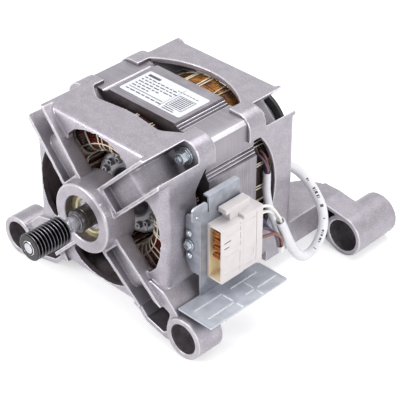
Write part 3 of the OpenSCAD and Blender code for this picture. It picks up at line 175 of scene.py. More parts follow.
# Each finish: its style, dark and light tone, patch size, grit size or lines, metallic, roughness, relief, layers
finishRows = {
    # grey die casting with a faint warm cast, gritty from blasting: lighter edges, partly wear and partly painted
    # highlight; painted shade in hollows and where walls stand close
    "dieCastAluminium": ("mottled", "#98929b", "#aaa5ae", 7, 0.6, 0.42, 0.32, 0.06, {
        "edge": "#ece8ee", "hollow": "#423d45", "specks": 0.34, "grain": 0.5, "occlusionShade": (12, "#38333b", 0.75)}),
    # the inside of the bracket walls: a darker copy of the casting, painted shade
    "shadedInnerCasting": ("mottled", "#4d474b", "#6d666c", 9, 0.8, 0.3, 0.5, 0.08),
    # the turned and faced places of the castings: brighter, smoother
    "machinedAluminium": ("mottled", "#a09ca2", "#b9b5bb", 6, 0.4, 0.6, 0.34, 0.03),
    # bored holes of the lugs: dull, and darker than the skin from painted shade
    "shadedBoreAluminium": ("mottled", "#5c555a", "#766f75", 4, 0.4, 0.5, 0.5, 0.04),
    # edges of the stacked sheets, each line about a sheet thick
    "laminationSteel": ("lined", "#858087", "#a29da5", 14, sheetLines, 0.5, 0.36, 0.035),
    # cut corners and crests of the grooves: painted highlight
    "crestHighlightSteel": ("lined", "#d6d3da", "#e8e5eb", 14, sheetLines, 0.4, 0.34, 0.02),
    # flat sides of the stack, ground even and a little lighter than its edges
    "groundLand": ("lined", "#918c94", "#a09ba3", 18, sheetLines, 0.4, 0.36, 0.02),
    # the first and last sheet, dark: painted shade of the gaps they face
    "shadedEndSheet": ("mottled", "#443d40", "#5d565a", 8, 0.8, 0.4, 0.45, 0.03),
    # troughs of the side grooves: painted shade
    "grooveShade": ("lined", "#655f68", "#7c7780", 14, sheetLines, 0.5, 0.4, 0.02),
    # dark red enamel on the front turns, glossy with varnish
    "darkEnamelWire": ("mottled", "#230706", "#7c2116", 4, 1.4, 0.2, 0.34, 0.0, {"coat": 0.08}),
    # orange copper enamel on the rear turns, with painted shade: browner and darker from the shaft's height down
    "copperEnamelWire": ("mottled", "#5a2b0a", "#c98424", 6, 1.5, 0.3, 0.3, 0.0, {"coat": 0.3, "low": "#2c1611"}),
    # varnished insulation under the turns: almost black, dull
    "windingVarnish": ("mottled", "#140706", "#2c120c", 4, 0.9, 0.0, 0.7, 0.05),
    # waxed cotton cord: cream, matt, a little rough
    "lacingCord": ("mottled", "#e3dac2", "#faf4e4", 3, 0.35, 0.0, 0.75, 0.12),
    # cage rings as cast: light grey with bright specks
    "castRotorAluminium": ("mottled", "#9c9aa1", "#c6c4ca", 5, 0.6, 0.6, 0.4, 0.06, {"specks": 0.3}),
    # rotor sheets, turned after stacking: darker lines
    "rotorSteel": ("lined", "#5b585d", "#7d7a80", 9, (60.0, 1500.0, 60.0), 0.7, 0.4, 0.03),
    # bright ground steel, fine marks running round it
    "groundSteel": ("lined", "#a6a6ac", "#c2c2c8", 12, (20.0, 2500.0, 20.0), 0.9, 0.2, 0.004),
    # black oxide on turned steel: near black with a gloss
    "blackOxideSteel": ("lined", "#080407", "#120c11", 4, turnedLines, 0.2, 0.2, 0.004),
    # the same oxide on the crests, lighter grey: painted highlight
    "crestHighlightBlack": ("lined", "#55545b", "#77767e", 4, turnedLines, 0.5, 0.25, 0.004),
    # collar of burnished steel: brownish black with a soft shine
    "burnishedCollar": ("mottled", "#2e2b2d", "#5f5a5d", 3, 0.6, 0.5, 0.36, 0.03),
    # polished bearing steel: bright and even
    "bearingSteel": ("lined", "#8e8b90", "#b2afb5", 8, (30.0, 1500.0, 30.0), 0.9, 0.25, 0.01),
    # stamped brass cage: dull yellow
    "bearingBrass": ("mottled", "#8a6a2c", "#b08d44", 3, 0.5, 0.8, 0.35, 0.02),
    # bare spring steel: grey and smooth
    "springSteel": ("mottled", "#77747a", "#8f8c92", 4, 0.5, 0.9, 0.3, 0.01),
    # zinc plate: cold grey with a faint blue in patches
    "zincPlatedSheet": ("mottled", "#acb1bb", "#c2c6cf", 7, 0.9, 0.18, 0.36, 0.02),
    # its upright faces: a darker copy of the same zinc, painted shade, with more painted shade where they stand close
    # to the casting
    "shadedZincUpright": ("mottled", "#868993", "#a3a6b0", 6, 0.9, 0.25, 0.34, 0.02, {"occlusionShade": (9, "#474952", 0.7)}),
    # the crests of the pressed beads and bends: painted highlight
    "zincHighlight": ("mottled", "#dde1e6", "#f0f2f5", 3, 0.6, 0.3, 0.28, 0.01),
    # zinc-plated fasteners: bluish, shinier than the sheet
    "zincFastener": ("mottled", "#9da5ad", "#ccd3d9", 2.5, 0.5, 0.8, 0.24, 0.015),
    # off-white connector plastic with a satin skin
    "mouldedNylon": ("moulded", "#d0c9ca", "#ddd7d8", 7, mouldGrain, 0.0, 0.42, 0.03),
    # the same plastic, yellower inside the mouth
    "creamNylon": ("moulded", "#ecdaba", "#f6ebd3", 7, mouldGrain, 0.0, 0.5, 0.03),
    # white film of the label, satin
    "paperLabel": ("moulded", "#dedfe6", "#e9eaf0", 12, mouldGrain, 0.0, 0.4, 0.03),
    # grey print, matt
    "labelInk": ("moulded", "#3c3c43", "#55555d", 4, mouldGrain, 0.0, 0.55, 0.03),
    # folded phosphor bronze: deep orange
    "bronzeContact": ("mottled", "#7c3d05", "#ab640b", 1.6, 0.4, 0.35, 0.32, 0.02),
    # the same metal down in a contact, where little light comes
    "bronzeShade": ("mottled", "#421a04", "#703408", 1.2, 0.4, 0.35, 0.4, 0.02),
    # soft PVC sleeve: white with a low shine
    "whiteSleeve": ("moulded", "#d9d8dd", "#ececf0", 9, mouldGrain, 0.0, 0.36, 0.03),
    # PVC insulation of the leads, in their colours
    "brownLead": ("moulded", "#6a4238", "#8a5c4f", 5, mouldGrain, 0.0, 0.35, 0.03),
    "violetLead": ("moulded", "#4a3848", "#6a5064", 5, mouldGrain, 0.0, 0.35, 0.03),
    "blueLead": ("moulded", "#20264a", "#343e68", 5, mouldGrain, 0.0, 0.35, 0.03),
    "whiteLead": ("moulded", "#e2e0de", "#f3f2f0", 5, mouldGrain, 0.0, 0.35, 0.03),
    # black glass-filled nylon: grainy, half matt
    "blackNylon": ("moulded", "#131315", "#222225", 6, mouldGrain, 0.0, 0.4, 0.05),
    # sintered ferrite: charcoal, matt
    "magnetFerrite": ("mottled", "#252527", "#343437", 3, 0.5, 0.2, 0.5, 0.04),
    # green-grey coil former
    "coilFormer": ("moulded", "#2f3c33", "#43544a", 5, mouldGrain, 0.0, 0.45, 0.03),
}


def startMaterial(name):
    material = bpy.data.materials.new(name)
    material.use_nodes = True
    tree = material.node_tree
    add = partial(addNode, tree)
    return material, tree, add, tree.nodes["Principled BSDF"], add("ShaderNodeTexCoord").outputs["Object"]


def makeFinish(name, style, dark, light, patch, grit, metallic, rough, relief, extra={}):
    s = finishStyles[style]
    material, tree, add, shader, place = startMaterial(name)
    patches = add("ShaderNodeTexNoise", {"Vector": place, "Scale": 1 / (patch * mm), "Detail": 3.0})
    if style == "lined":
        spread = add("ShaderNodeMapping", {"Vector": place, "Scale": grit})
        grains = add("ShaderNodeTexNoise", {"Vector": spread, "Scale": 1.0, "Detail": s["detail"]})
    else:
        grains = add("ShaderNodeTexNoise", {"Vector": place, "Scale": 1 / (grit * mm), "Detail": s["detail"]})
    grain = extra.get("grain", 0.0)  # grit in the tone too, with the blend made wider for it
    speckled = add("ShaderNodeMath", {0: grains, 1: s["gritShare"] + grain, 2: patches}, operation="MULTIPLY_ADD")
    blend = add("ShaderNodeMapRange", {"Value": speckled, "From Min": s["blend"][0] + 0.3 * grain,
                                       "From Max": s["blend"][1] + 0.7 * grain})
    tone = add("ShaderNodeMix", {"Factor": blend, mixA: linearColour(dark), mixB: linearColour(light)},
               data_type="RGBA")
    layers = []
    if "low" in extra:  # painted shade: darker and browner below the shaft's height
        height = add("ShaderNodeSeparateXYZ", {0: place}).outputs[2]
        layers.append((height, *layerSettings["browned"], extra["low"]))
    if "specks" in extra:
        layers.append((grains, *layerSettings["specks"], extra["specks"], layerSettings["speckTone"]))
    if "edge" in extra:  # lighter on edges, partly wear and partly painted highlight; painted shade in hollows
        bends = add("ShaderNodeNewGeometry").outputs["Pointiness"]
        layers += [(bends, *layerSettings[part], extra[part]) for part in ("hollow", "edge")]
    if "occlusionShade" in extra:  # painted shade where walls stand close together
        reach, shadeTone, most = extra["occlusionShade"]
        room = add("ShaderNodeAmbientOcclusion", {"Distance": reach * mm}, samples=layerSettings["occlusionShadeSamples"])
        layers.append((room.outputs["AO"], *layerSettings["occlusionShade"], most, shadeTone))
    for measure, start, end, most, shade in layers:
        cover = add("ShaderNodeMapRange", {"Value": measure, "From Min": start, "From Max": end, "To Max": most})
        tone = add("ShaderNodeMix", {"Factor": cover, mixA: tone.outputs[mixOut], mixB: linearColour(shade)},
                   data_type="RGBA")
    tree.links.new(tone.outputs[mixOut], shader.inputs["Base Color"])
    down, up = s["gloss"]
    gloss = add("ShaderNodeMapRange", {"Value": grains, "To Min": rough - down, "To Max": rough + up})
    tree.links.new(gloss.outputs[0], shader.inputs["Roughness"])
    shader.inputs["Metallic"].default_value = metallic
    shader.inputs["Coat Weight"].default_value = extra.get("coat", 0.0)
    if relief:
        bump = add("ShaderNodeBump", {"Height": grains, "Strength": s["strength"], "Distance": relief * mm})
        tree.links.new(bump.outputs[0], shader.inputs["Normal"])
    return material


shieldSettings = {
    "inner": 9.6, "outer": 15.8, "grainScale": 900.0, "gloss": (0.25, 0.42), "metallic": 0.3,
    # cream lacquer with a gilt ring at both edges and in the groove
    "stops": ((0.0, "#7d6a34"), (0.12, "#c9b46b"), (0.2, "#efe8cd"), (0.42, "#e9e0bd"), (0.5, "#a58a45"),
              (0.58, "#e6dcb4"), (0.86, "#d9cd9d"), (1.0, "#8e7b43")),
}


def shieldFinish(s):
    material, tree, add, shader, place = startMaterial("bearingShield")
    apart = add("ShaderNodeSeparateXYZ", {0: place}).outputs
    flat = add("ShaderNodeCombineXYZ", {0: apart[0], 2: apart[2]})
    radius = add("ShaderNodeVectorMath", {0: flat}, operation="LENGTH").outputs["Value"]
    share = add("ShaderNodeMapRange", {"Value": radius, "From Min": s["inner"] * mm, "From Max": s["outer"] * mm})
    ramp = add("ShaderNodeValToRGB", {0: share})
    while len(ramp.color_ramp.elements) < len(s["stops"]):
        ramp.color_ramp.elements.new(0.5)
    for element, (spot, tone) in zip(ramp.color_ramp.elements, s["stops"]):
        element.position = spot
        element.color = linearColour(tone)
    tree.links.new(ramp.outputs[0], shader.inputs["Base Color"])
    grain = add("ShaderNodeTexNoise", {"Vector": place, "Scale": s["grainScale"], "Detail": 2.0})
    gloss = add("ShaderNodeMapRange", {"Value": grain, "To Min": s["gloss"][0], "To Max": s["gloss"][1]})
    tree.links.new(gloss.outputs[0], shader.inputs["Roughness"])
    shader.inputs["Metallic"].default_value = s["metallic"]
    return material


finishes = {name: makeFinish(name, *row) for name, row in finishRows.items()}
finishes["bearingShield"] = shieldFinish(shieldSettings)
print("stage: finishes")


def markSharp(mesh, degrees):  # smooth faces, with edges over this angle left crisp
    work = bmesh.new()
    work.from_mesh(mesh)
    limit = math.radians(degrees)
    for face in work.faces:
        face.smooth = True
    for edge in work.edges:
        edge.smooth = len(edge.link_faces) == 2 and edge.calc_face_angle(0) < limit
    work.to_mesh(mesh)
    work.free()


def meshFrom(work, name, sharp=None):  # the mesh of a finished bmesh
    mesh = bpy.data.meshes.new(name)
    work.to_mesh(mesh)
    work.free()
    if sharp:
        markSharp(mesh, sharp)
    return mesh


def bakeModifiers(thing):
    bpy.context.view_layer.update()
    graph = bpy.context.evaluated_depsgraph_get()
    baked = bpy.data.meshes.new_from_object(thing.evaluated_get(graph), preserve_all_data_layers=True,
                                            depsgraph=graph)
    thing.modifiers.clear()
    thing.data = baked


def dress(thing, finish, body, slot, *replaced):
    if finish:
        thing.data.materials.clear()
        thing.data.materials.append(finishes[finish])
    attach(thing, body)
    if replaced:
        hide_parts(*replaced)
    print("piece", thing.name, len(thing.data.polygons), "faces")


def paintWhere(thing, finish, chosen):  # a second finish on the faces that the test picks
    thing.data.materials.append(finishes[finish])
    index = len(thing.data.materials) - 1
    for face in thing.data.polygons:
        if chosen(face.center / mm, face.normal):
            face.material_index = index


def joined(name, things):  # one object from several, each keeping its own finish
    work = bmesh.new()
    materials = []
    for thing in things:
        offset = []
        for material in thing.data.materials:
            if material not in materials:
                materials.append(material)
            offset.append(materials.index(material))
        before = len(work.faces)
        work.from_mesh(thing.data)
        work.faces.ensure_lookup_table()
        for face in work.faces[before:]:
            face.material_index = offset[face.material_index] if offset else 0
    first = things[0]
    first.data = meshFrom(work, name)
    for material in materials:
        first.data.materials.append(material)
    for thing in things[1:]:
        bpy.data.objects.remove(thing)
    first.name = name
    return first


def mergedCopy(name, node):  # a CAD node's mesh with its loose triangles joined
    mesh = nodes[node].data.copy()
    mesh.materials.clear()
    work = bmesh.new()
    work.from_mesh(mesh)
    bmesh.ops.remove_doubles(work, verts=work.verts, dist=2e-6)
    work.to_mesh(mesh)
    work.free()
    return meshObject(name, mesh)


# Columns of (radius, y), set round the shaft axis or the one given and closed to a solid
def spun(name, columns, sharp, centre=(0, 0)):
    work = bmesh.new()
    steps = len(columns)
    rings = []
    for i, column in enumerate(columns):
        a = 2 * math.pi * i / steps
        rings.append([work.verts.new((r * math.cos(a) * mm, y * mm, r * math.sin(a) * mm)) for r, y in column])
    for i, column in enumerate(columns):
        here, there = rings[i], rings[(i + 1) % steps]
        for k in range(len(column)):
            k2 = (k + 1) % len(column)
            if column[k][0] or column[k2][0]:  # nothing spans the axis itself
                work.faces.new((here[k], there[k], there[k2], here[k2]))
    bmesh.ops.remove_doubles(work, verts=work.verts, dist=1e-7)
    bmesh.ops.dissolve_degenerate(work, edges=work.edges, dist=1e-8)
    bmesh.ops.recalc_face_normals(work, faces=work.faces)
    bmesh.ops.translate(work, verts=work.verts, vec=at(centre[0], 0, centre[1]))
    return meshFrom(work, name, sharp)


def turned(name, outline, steps=96, sharp=28, centre=(0, 0)):  # a turned piece from one outline
    return spun(name, [outline] * steps, sharp, centre)


def roundedOutline(points, steps=4):  # (radius, y) corners, each with a rounding: (r, y, rounding)
    out = []
    for i, (r, y, rounding) in enumerate(points):
        p = Vector((r, y))
        if rounding <= 0:
            out.append((r, y))
            continue
        a = (Vector(points[i - 1][:2]) - p).normalized()
        b = (Vector(points[(i + 1) % len(points)][:2]) - p).normalized()
        half = math.acos(max(-1, min(1, a.dot(b)))) / 2
        reach = rounding / math.tan(half)
        middle = p + (a + b).normalized() * rounding / math.sin(half)
        start, end = p + a * reach - middle, p + b * reach - middle
        t0 = math.atan2(start.y, start.x)
        turn = (math.atan2(end.y, end.x) - t0 + math.pi) % (2 * math.pi) - math.pi
        for k in range(steps + 1):
            t = t0 + turn * k / steps
            out.append((middle.x + rounding * math.cos(t), middle.y + rounding * math.sin(t)))
    return out


def smoothRoute(points, count, fine=24):  # evenly spaced places on a smooth curve through the points
    pts = [Vector(p) for p in points]
    pts = [2 * pts[0] - pts[1]] + pts + [2 * pts[-1] - pts[-2]]
    dense = []
    for i in range(1, len(pts) - 2):
        p0, p1, p2, p3 = pts[i - 1:i + 3]
        for k in range(fine):
            t = k / fine
            dense.append(0.5 * (2 * p1 + (p2 - p0) * t + (2 * p0 - 5 * p1 + 4 * p2 - p3) * t * t
                                + (3 * p1 - p0 - 3 * p2 + p3) * t ** 3))
    dense.append(pts[-2])
    lengths = [0.0]
    for a, b in zip(dense, dense[1:]):
        lengths.append(lengths[-1] + (b - a).length)
    out, k = [], 0
    for i in range(count):
        want = lengths[-1] * i / (count - 1)
        while k < len(dense) - 2 and lengths[k + 1] < want:
            k += 1
        share = (want - lengths[k]) / max(lengths[k + 1] - lengths[k], 1e-9)
        out.append(dense[k].lerp(dense[k + 1], min(1, max(0, share))))
    return out


# A tube along places; with a bore, it is open for the depth of the mouth at its start and a little at its end
def sweepTube(name, places, radius, sides, bore=0.0, mouth=0.0, ripple=0.0, endRings=4):
    steps = len(places)
    ahead = [(places[min(i + 1, steps - 1)] - places[max(i - 1, 0)]).normalized() for i in range(steps)]
    side = ahead[0].orthogonal().normalized()
    work = bmesh.new()
    frames = []
    for t in ahead:
        side = (side - side.dot(t) * t).normalized()
        frames.append((side.copy(), t.cross(side)))

    def ring(i, r):
        u, v = frames[i]
        swell = 1 + ripple * math.sin(i * 0.9) * math.sin(i * 0.37)  # the hand-made unevenness of a soft sleeve
        turns = [2 * math.pi * k / sides for k in range(sides)]
        return [work.verts.new((places[i] + r * swell * (math.cos(a) * u + math.sin(a) * v)) * mm) for a in turns]

    rings = [ring(i, radius) for i in range(steps)]
    if bore:
        deep = max(2, sum(1 for p in places if (p - places[0]).length < mouth))
        rings = [ring(i, bore) for i in range(deep, -1, -1)] + rings
        rings += [ring(i, bore) for i in range(steps - 1, steps - 1 - endRings, -1)]
    for a, b in zip(rings, rings[1:]):
        for k in range(sides):
            k2 = (k + 1) % sides
            work.faces.new((a[k], a[k2], b[k2], b[k]))
    work.faces.new(rings[0][::-1])
    work.faces.new(rings[-1])
    bmesh.ops.recalc_face_normals(work, faces=work.faces)
    return meshObject(name, meshFrom(work, name, 50))


sleeveSettings = {
    "lead_sleeve": {
        "diameter": 6.2, "bore": 4.9, "printed": (0.4, 0.78),  # share of its length between which it is printed
        "route": [(75.5, 116, -9), (75.2, 120.5, -18.5), (75, 126, -30), (75.4, 131.5, -40),
                  (76.8, 137.5, -45.6), (78.8, 143.8, -43), (79.6, 149, -36), (78, 153.6, -28.6),
                  (73, 157.8, -22.2), (65.5, 161, -17), (57, 162.6, -11.6), (49.5, 161.4, -6.8),
                  (44.4, 157.4, -3.6), (42.2, 151.5, -1.8), (41.4, 146.4, -1.1), (41.4, 141.6, -1)],
    },
    "power_sleeve": {
        "diameter": 5.0, "bore": 4.2, "printed": None,
        "route": [(73.8, 118.8, -28.6), (73, 120.4, -32.8), (70.6, 123, -34.8), (67.6, 125.8, -33.4),
                  (64.8, 127.6, -30), (61.6, 128.4, -25), (58.2, 128.4, -19), (55, 128.6, -12),
                  (53, 129, -5), (52.2, 129.6, 2), (52.1, 129.8, 8)],
    },
}
tubeSettings = {"places": 241, "sides": 28, "mouth": 7.0, "ripple": 0.006, "cordEvery": 6}
printSettings = {"pattern": "xx........x.xx.x.xx.x.xx..........xx.x..........", "toward": (0.66, -0.52, 0.54),
                 "width": 0.96}
sleeveRoutes = {name: [Vector(p) for p in sleeve["route"]] for name, sleeve in sleeveSettings.items()}


# Generic dashes along the outer side of a sleeve, where such sleeves are printed
def printDashes(tube, places, printed):
    pattern, toward = printSettings["pattern"], Vector(printSettings["toward"])
    first, last = (int(part * len(places)) for part in printed)
    tube.data.materials.append(finishes["labelInk"])
    for face in tube.data.polygons:
        spot = face.center / mm
        step = min(range(len(places)), key=lambda i: (places[i] - spot).length_squared)
        if first < step < last and pattern[step % len(pattern)] == "x":
            along = (places[step + 1] - places[step - 1]).normalized()
            if face.normal.dot((toward - toward.dot(along) * along).normalized()) > printSettings["width"]:
                face.material_index = 1


def makeSleeves(s):
    for name, sleeve in sleeveSettings.items():
        places = smoothRoute(sleeve["route"], s["places"])
        tube = sweepTube(name + "_tube", places, sleeve["diameter"] / 2, s["sides"], sleeve["bore"] / 2, s["mouth"],
                         s["ripple"])
        dress(tube, "whiteSleeve", "stator", "white_sleeve", name)
        if sleeve["printed"]:
            printDashes(tube, places, sleeve["printed"])


leadSettings = {
    "wireX": 73.05, "start": 90.25, "coverEnd": 97.05, "sides": 14, "places": 61, "cordEvery": 2,
    "mouthEnd": (0.2, -4), "squeeze": 0.95,
    # each lead: finish, height at the connector, two places on its way, angle in the sleeve's mouth
    "groups": (
        {"sleeve": "power_sleeve", "diameter": 2.0, "aside": 0.6, "far": (8, 0.1), "near": 3, "leads": (
            ("blueLead", -2.8, (72.55, 103.6, -3.6), (72.0, 109.6, -12.4), 210),
            ("violetLead", -7.8, (73.85, 103.0, -8.6), (74.8, 109.6, -13.1), 90),
            ("brownLead", -12.8, (75.15, 102.4, -13.6), (77.6, 109.6, -13.8), -30))},
        {"sleeve": "lead_sleeve", "diameter": 1.8, "aside": 0.55, "far": (5, 0.3), "near": 2, "leads": (
            ("whiteLead", 7.2, (73.65, 102.05, 7.4), (74.8, 108.4, 4.6), 0),
            ("whiteLead", 2.2, (73.65, 102.05, 3.0), (74.4, 107.2, 1.8), 180))},
    ),
}


def makeLeads(s):
    for group in s["groups"]:
        mouth, inside = sleeveRoutes[group["sleeve"]][:2]
        t = (inside - mouth).normalized()
        u = t.cross(Vector((0, 1, 0))).normalized()
        v = t.cross(u)
        aside = group["diameter"] * group["aside"]
        reach, spread = group["far"]
        stops = ((reach, aside + spread), (group["near"], aside), (s["mouthEnd"][0], aside),
                 (s["mouthEnd"][1], aside * s["squeeze"]))
        for i, (finish, z, first, second, degrees) in enumerate(group["leads"]):
            a = math.radians(degrees)
            out = math.cos(a) * u + math.sin(a) * v
            route = [(s["wireX"], s["start"], z), (s["wireX"], s["coverEnd"], z), first, second]
            route += [mouth - t * back + off * out for back, off in stops]
            places = smoothRoute(route, s["places"])
            lead = sweepTube("lead_" + finish + "_" + str(i), places, group["diameter"] / 2, s["sides"])
            dress(lead, finish, "stator", "lead_insulation", "lead_wires")


tailSettings = {
    "finishes": ("blueLead", "violetLead", "brownLead"), "apart": 120, "firstAngle": 20, "aside": 0.95,
    "along": (-1.6, 0, 2.5), "radius": 0.8, "sides": 12, "places": 31,
    # x and its step, y and its spread, z and its step, at three places on the way to the winding
    "bends": ((51.4, -0.3, 129.6, 1.0, 13.6, 1.0), (49.8, -0.4, 129, 1.3, 16.4, 1.2),
              (47.0, -0.5, 128.4, 1.8, 18.2, 1.4)),
}


def makeTails(s):  # the three short ends that leave the power sleeve for the winding
    before, end = sleeveRoutes["power_sleeve"][-2:]
    up = (end - before).normalized()
    aside = up.cross(Vector((0, 1, 0))).normalized()
    for i, finish in enumerate(s["finishes"]):
        a = math.radians(s["apart"] * i + s["firstAngle"])
        shift = s["aside"] * (math.cos(a) * aside + math.sin(a) * up.cross(aside))
        route = [end + up * reach + shift for reach in s["along"]]
        route += [Vector((x + dx * i, y + spread * shift.y, z + dz * i)) for x, dx, y, spread, z, dz in s["bends"]]
        tail = sweepTube("tail_" + finish, smoothRoute(route, s["places"]), s["radius"], s["sides"])
        dress(tail, finish, "stator", "lead_insulation")


makeSleeves(tubeSettings)
makeLeads(leadSettings)
makeTails(tailSettings)
print("stage: sleeves and leads")


castSettings = {
    "voxel": 0.5, "quickVoxel": 1.0, "softness": 0.5, "rounding": 3, "triangles": 185000,
    "lugs": ((73, -54), (-73, -54)), "lugFaces": ((36.8, 14), (216.6, 15)), "faceReach": 0.6, "facing": 0.92,
    "lugBore": 10.9, "hubBore": 17.4, "boreFacing": 0.3,
    "innerSides": (40.0, 62.0), "innerDepth": (40.0, 151.0), "inward": 0.35,
}


# A cast skin over the CAD bracket: all its edges get the small radius of a die casting
def castBracket(name, node, s):
    thing = mergedCopy(name, node)
    skin = thing.modifiers.new("skin", "REMESH")
    skin.mode = "VOXEL"
    skin.voxel_size = s["voxel"] * mm
    skin.use_smooth_shade = True
    soften = thing.modifiers.new("soften", "SMOOTH")
    soften.factor = s["softness"]
    soften.iterations = s["rounding"]
    bakeModifiers(thing)
    triangles = sum(len(p.vertices) - 2 for p in thing.data.polygons)
    if triangles > s["triangles"]:
        thin = thing.modifiers.new("thin", "DECIMATE")
        thin.ratio = s["triangles"] / triangles
        bakeModifiers(thing)
    for face in thing.data.polygons:
        face.use_smooth = True
    thing.data.materials.clear()
    thing.data.materials.append(finishes["dieCastAluminium"])

    def fromLug(p):
        return min(math.hypot(p.x - x, p.z - z) for x, z in s["lugs"])

    def isInner(p, n):
        reach, fromAxis = max(abs(p.x), abs(p.z)), math.hypot(p.x, p.z)
        return (s["innerSides"][0] < reach < s["innerSides"][1] and s["innerDepth"][0] < p.y < s["innerDepth"][1]
                and -(n.x * p.x + n.z * p.z) / max(fromAxis, 1) > s["inward"])

    def isBored(p, n):
        return abs(n.y) < s["boreFacing"] and (fromLug(p) < s["lugBore"] or math.hypot(p.x, p.z) < s["hubBore"])

    def isFaced(p, n):
        return abs(n.y) > s["facing"] and any(abs(p.y - y) < s["faceReach"] and fromLug(p) < reach
                                              for y, reach in s["lugFaces"])

    # painted shade on the inward faces of the walls
    paintWhere(thing, "shadedInnerCasting", isInner)
    # painted shade in the bores
    paintWhere(thing, "shadedBoreAluminium", isBored)
    paintWhere(thing, "machinedAluminium", isFaced)
    dress(thing, None, "stator", "cast_aluminium", node)


castBracket("cast_front_bracket", "front_bracket", castSettings)
castBracket("cast_rear_bracket", "rear_bracket", castSettings)
print("stage: cast brackets")


def startTree(name, sockets):
    tree = bpy.data.node_groups.new(name, "GeometryNodeTree")
    for way in ("OUTPUT", "INPUT"):
        tree.interface.new_socket("Geometry", in_out=way, socket_type="NodeSocketGeometry")
    for socketName, kind in sockets.items():
        tree.interface.new_socket(socketName, in_out="INPUT", socket_type="NodeSocket" + kind)
    return tree, partial(addNode, tree), addNode(tree, "NodeGroupInput").outputs


def endTree(tree, geometry, finish):  # real mesh and its finish, because the export keeps no instances
    real = addNode(tree, "GeometryNodeRealizeInstances", {"Geometry": geometry})
    painted = addNode(tree, "GeometryNodeSetMaterial", {"Geometry": real, "Material": finish})
    addNode(tree, "NodeGroupOutput", {"Geometry": painted})
    return tree


def roundAlong(add, path, sides, radius):  # a smooth round body along a curve
    circle = add("GeometryNodeCurvePrimitiveCircle", {"Resolution": sides, "Radius": radius})
    body = add("GeometryNodeCurveToMesh", {"Curve": path, "Profile Curve": circle, "Fill Caps": True})
    return add("GeometryNodeSetShadeSmooth", {"Geometry": body})


def growWith(thing, tree, values):
    grower = thing.modifiers.new(tree.name, "NODES")
    grower.node_group = tree
    for item in tree.interface.items_tree:
        if item.in_out == "INPUT" and item.name in values:
            grower[item.identifier] = values[item.name]
    bakeModifiers(thing)


# How the wire strays: its layers, the scales of its two noises, and the middle of the section that it bulges from
strayPattern = {"layer": 0.3, "driftScale": 3.2, "bulgeScale": 5.0, "nextSeed": 7.3, "core": (0.040, 0, 0.010),
                "sides": 6}


# Wire that winds round the ring while it climbs over the section line given as the geometry
def windingTree(s):
    tree, add, given = startTree("windTurns", {
        "Turns": "Int", "Steps": "Int", "Wire radius": "Float", "Wander": "Float", "Lift": "Float",
        "Seed": "Float", "Finish": "Material"})
    section = add("GeometryNodeMeshToCurve", {"Mesh": given["Geometry"]})
    count = add("ShaderNodeMath", {0: given["Turns"], 1: given["Steps"]}, operation="MULTIPLY")
    line = add("GeometryNodeMeshLine", {"Count": count, "Offset": (0, 0, 0)})
    turn = add("ShaderNodeMath", {0: add("GeometryNodeInputIndex"), 1: given["Steps"]}, operation="DIVIDE")
    share = add("ShaderNodeMath", {0: turn, 1: given["Turns"]}, operation="DIVIDE")
    angle = add("ShaderNodeMath", {0: turn, 1: 2 * math.pi}, operation="MULTIPLY")
    cos = add("ShaderNodeMath", {0: angle}, operation="COSINE")
    sin = add("ShaderNodeMath", {0: angle}, operation="SINE")
    layer = add("ShaderNodeMath", {0: turn, 1: s["layer"]}, operation="MULTIPLY")
    spot = add("ShaderNodeCombineXYZ", {0: cos, 1: sin, 2: layer})
    second = add("ShaderNodeMath", {0: given["Seed"], 1: s["nextSeed"]}, operation="ADD")
    drift, bulge = (add("ShaderNodeTexNoise", {"Vector": spot, "W": seed, "Scale": scale, "Detail": 2.0},
                        noise_dimensions="4D")
                    for seed, scale in ((given["Seed"], s["driftScale"]), (second, s["bulgeScale"])))
    centred = add("ShaderNodeMath", {0: drift, 1: 0.5}, operation="SUBTRACT")
    wander = add("ShaderNodeMath", {0: centred, 1: given["Wander"]}, operation="MULTIPLY")
    moved = add("ShaderNodeMath", {0: share, 1: wander}, operation="ADD", use_clamp=True)
    place = add("GeometryNodeSampleCurve", {"Curves": section, "Factor": moved}, mode="FACTOR").outputs["Position"]
    fromCore = add("ShaderNodeVectorMath", {0: place, 1: s["core"]}, operation="SUBTRACT")
    outward = add("ShaderNodeVectorMath", {0: fromCore}, operation="NORMALIZE")
    lift = add("ShaderNodeMath", {0: bulge, 1: given["Lift"]}, operation="MULTIPLY")
    pushed = add("ShaderNodeVectorMath", {0: outward, "Scale": lift}, operation="SCALE")
    lifted = add("ShaderNodeVectorMath", {0: place, 1: pushed}, operation="SUBTRACT")
    swung = add("ShaderNodeVectorRotate", {"Vector": lifted, "Angle": angle}, rotation_type="Z_AXIS")
    wound = add("GeometryNodeSetPosition", {"Geometry": line, "Position": swung})
    path = add("GeometryNodeMeshToCurve", {"Mesh": wound})
    return endTree(tree, roundAlong(add, path, s["sides"], given["Wire radius"]), given["Finish"])


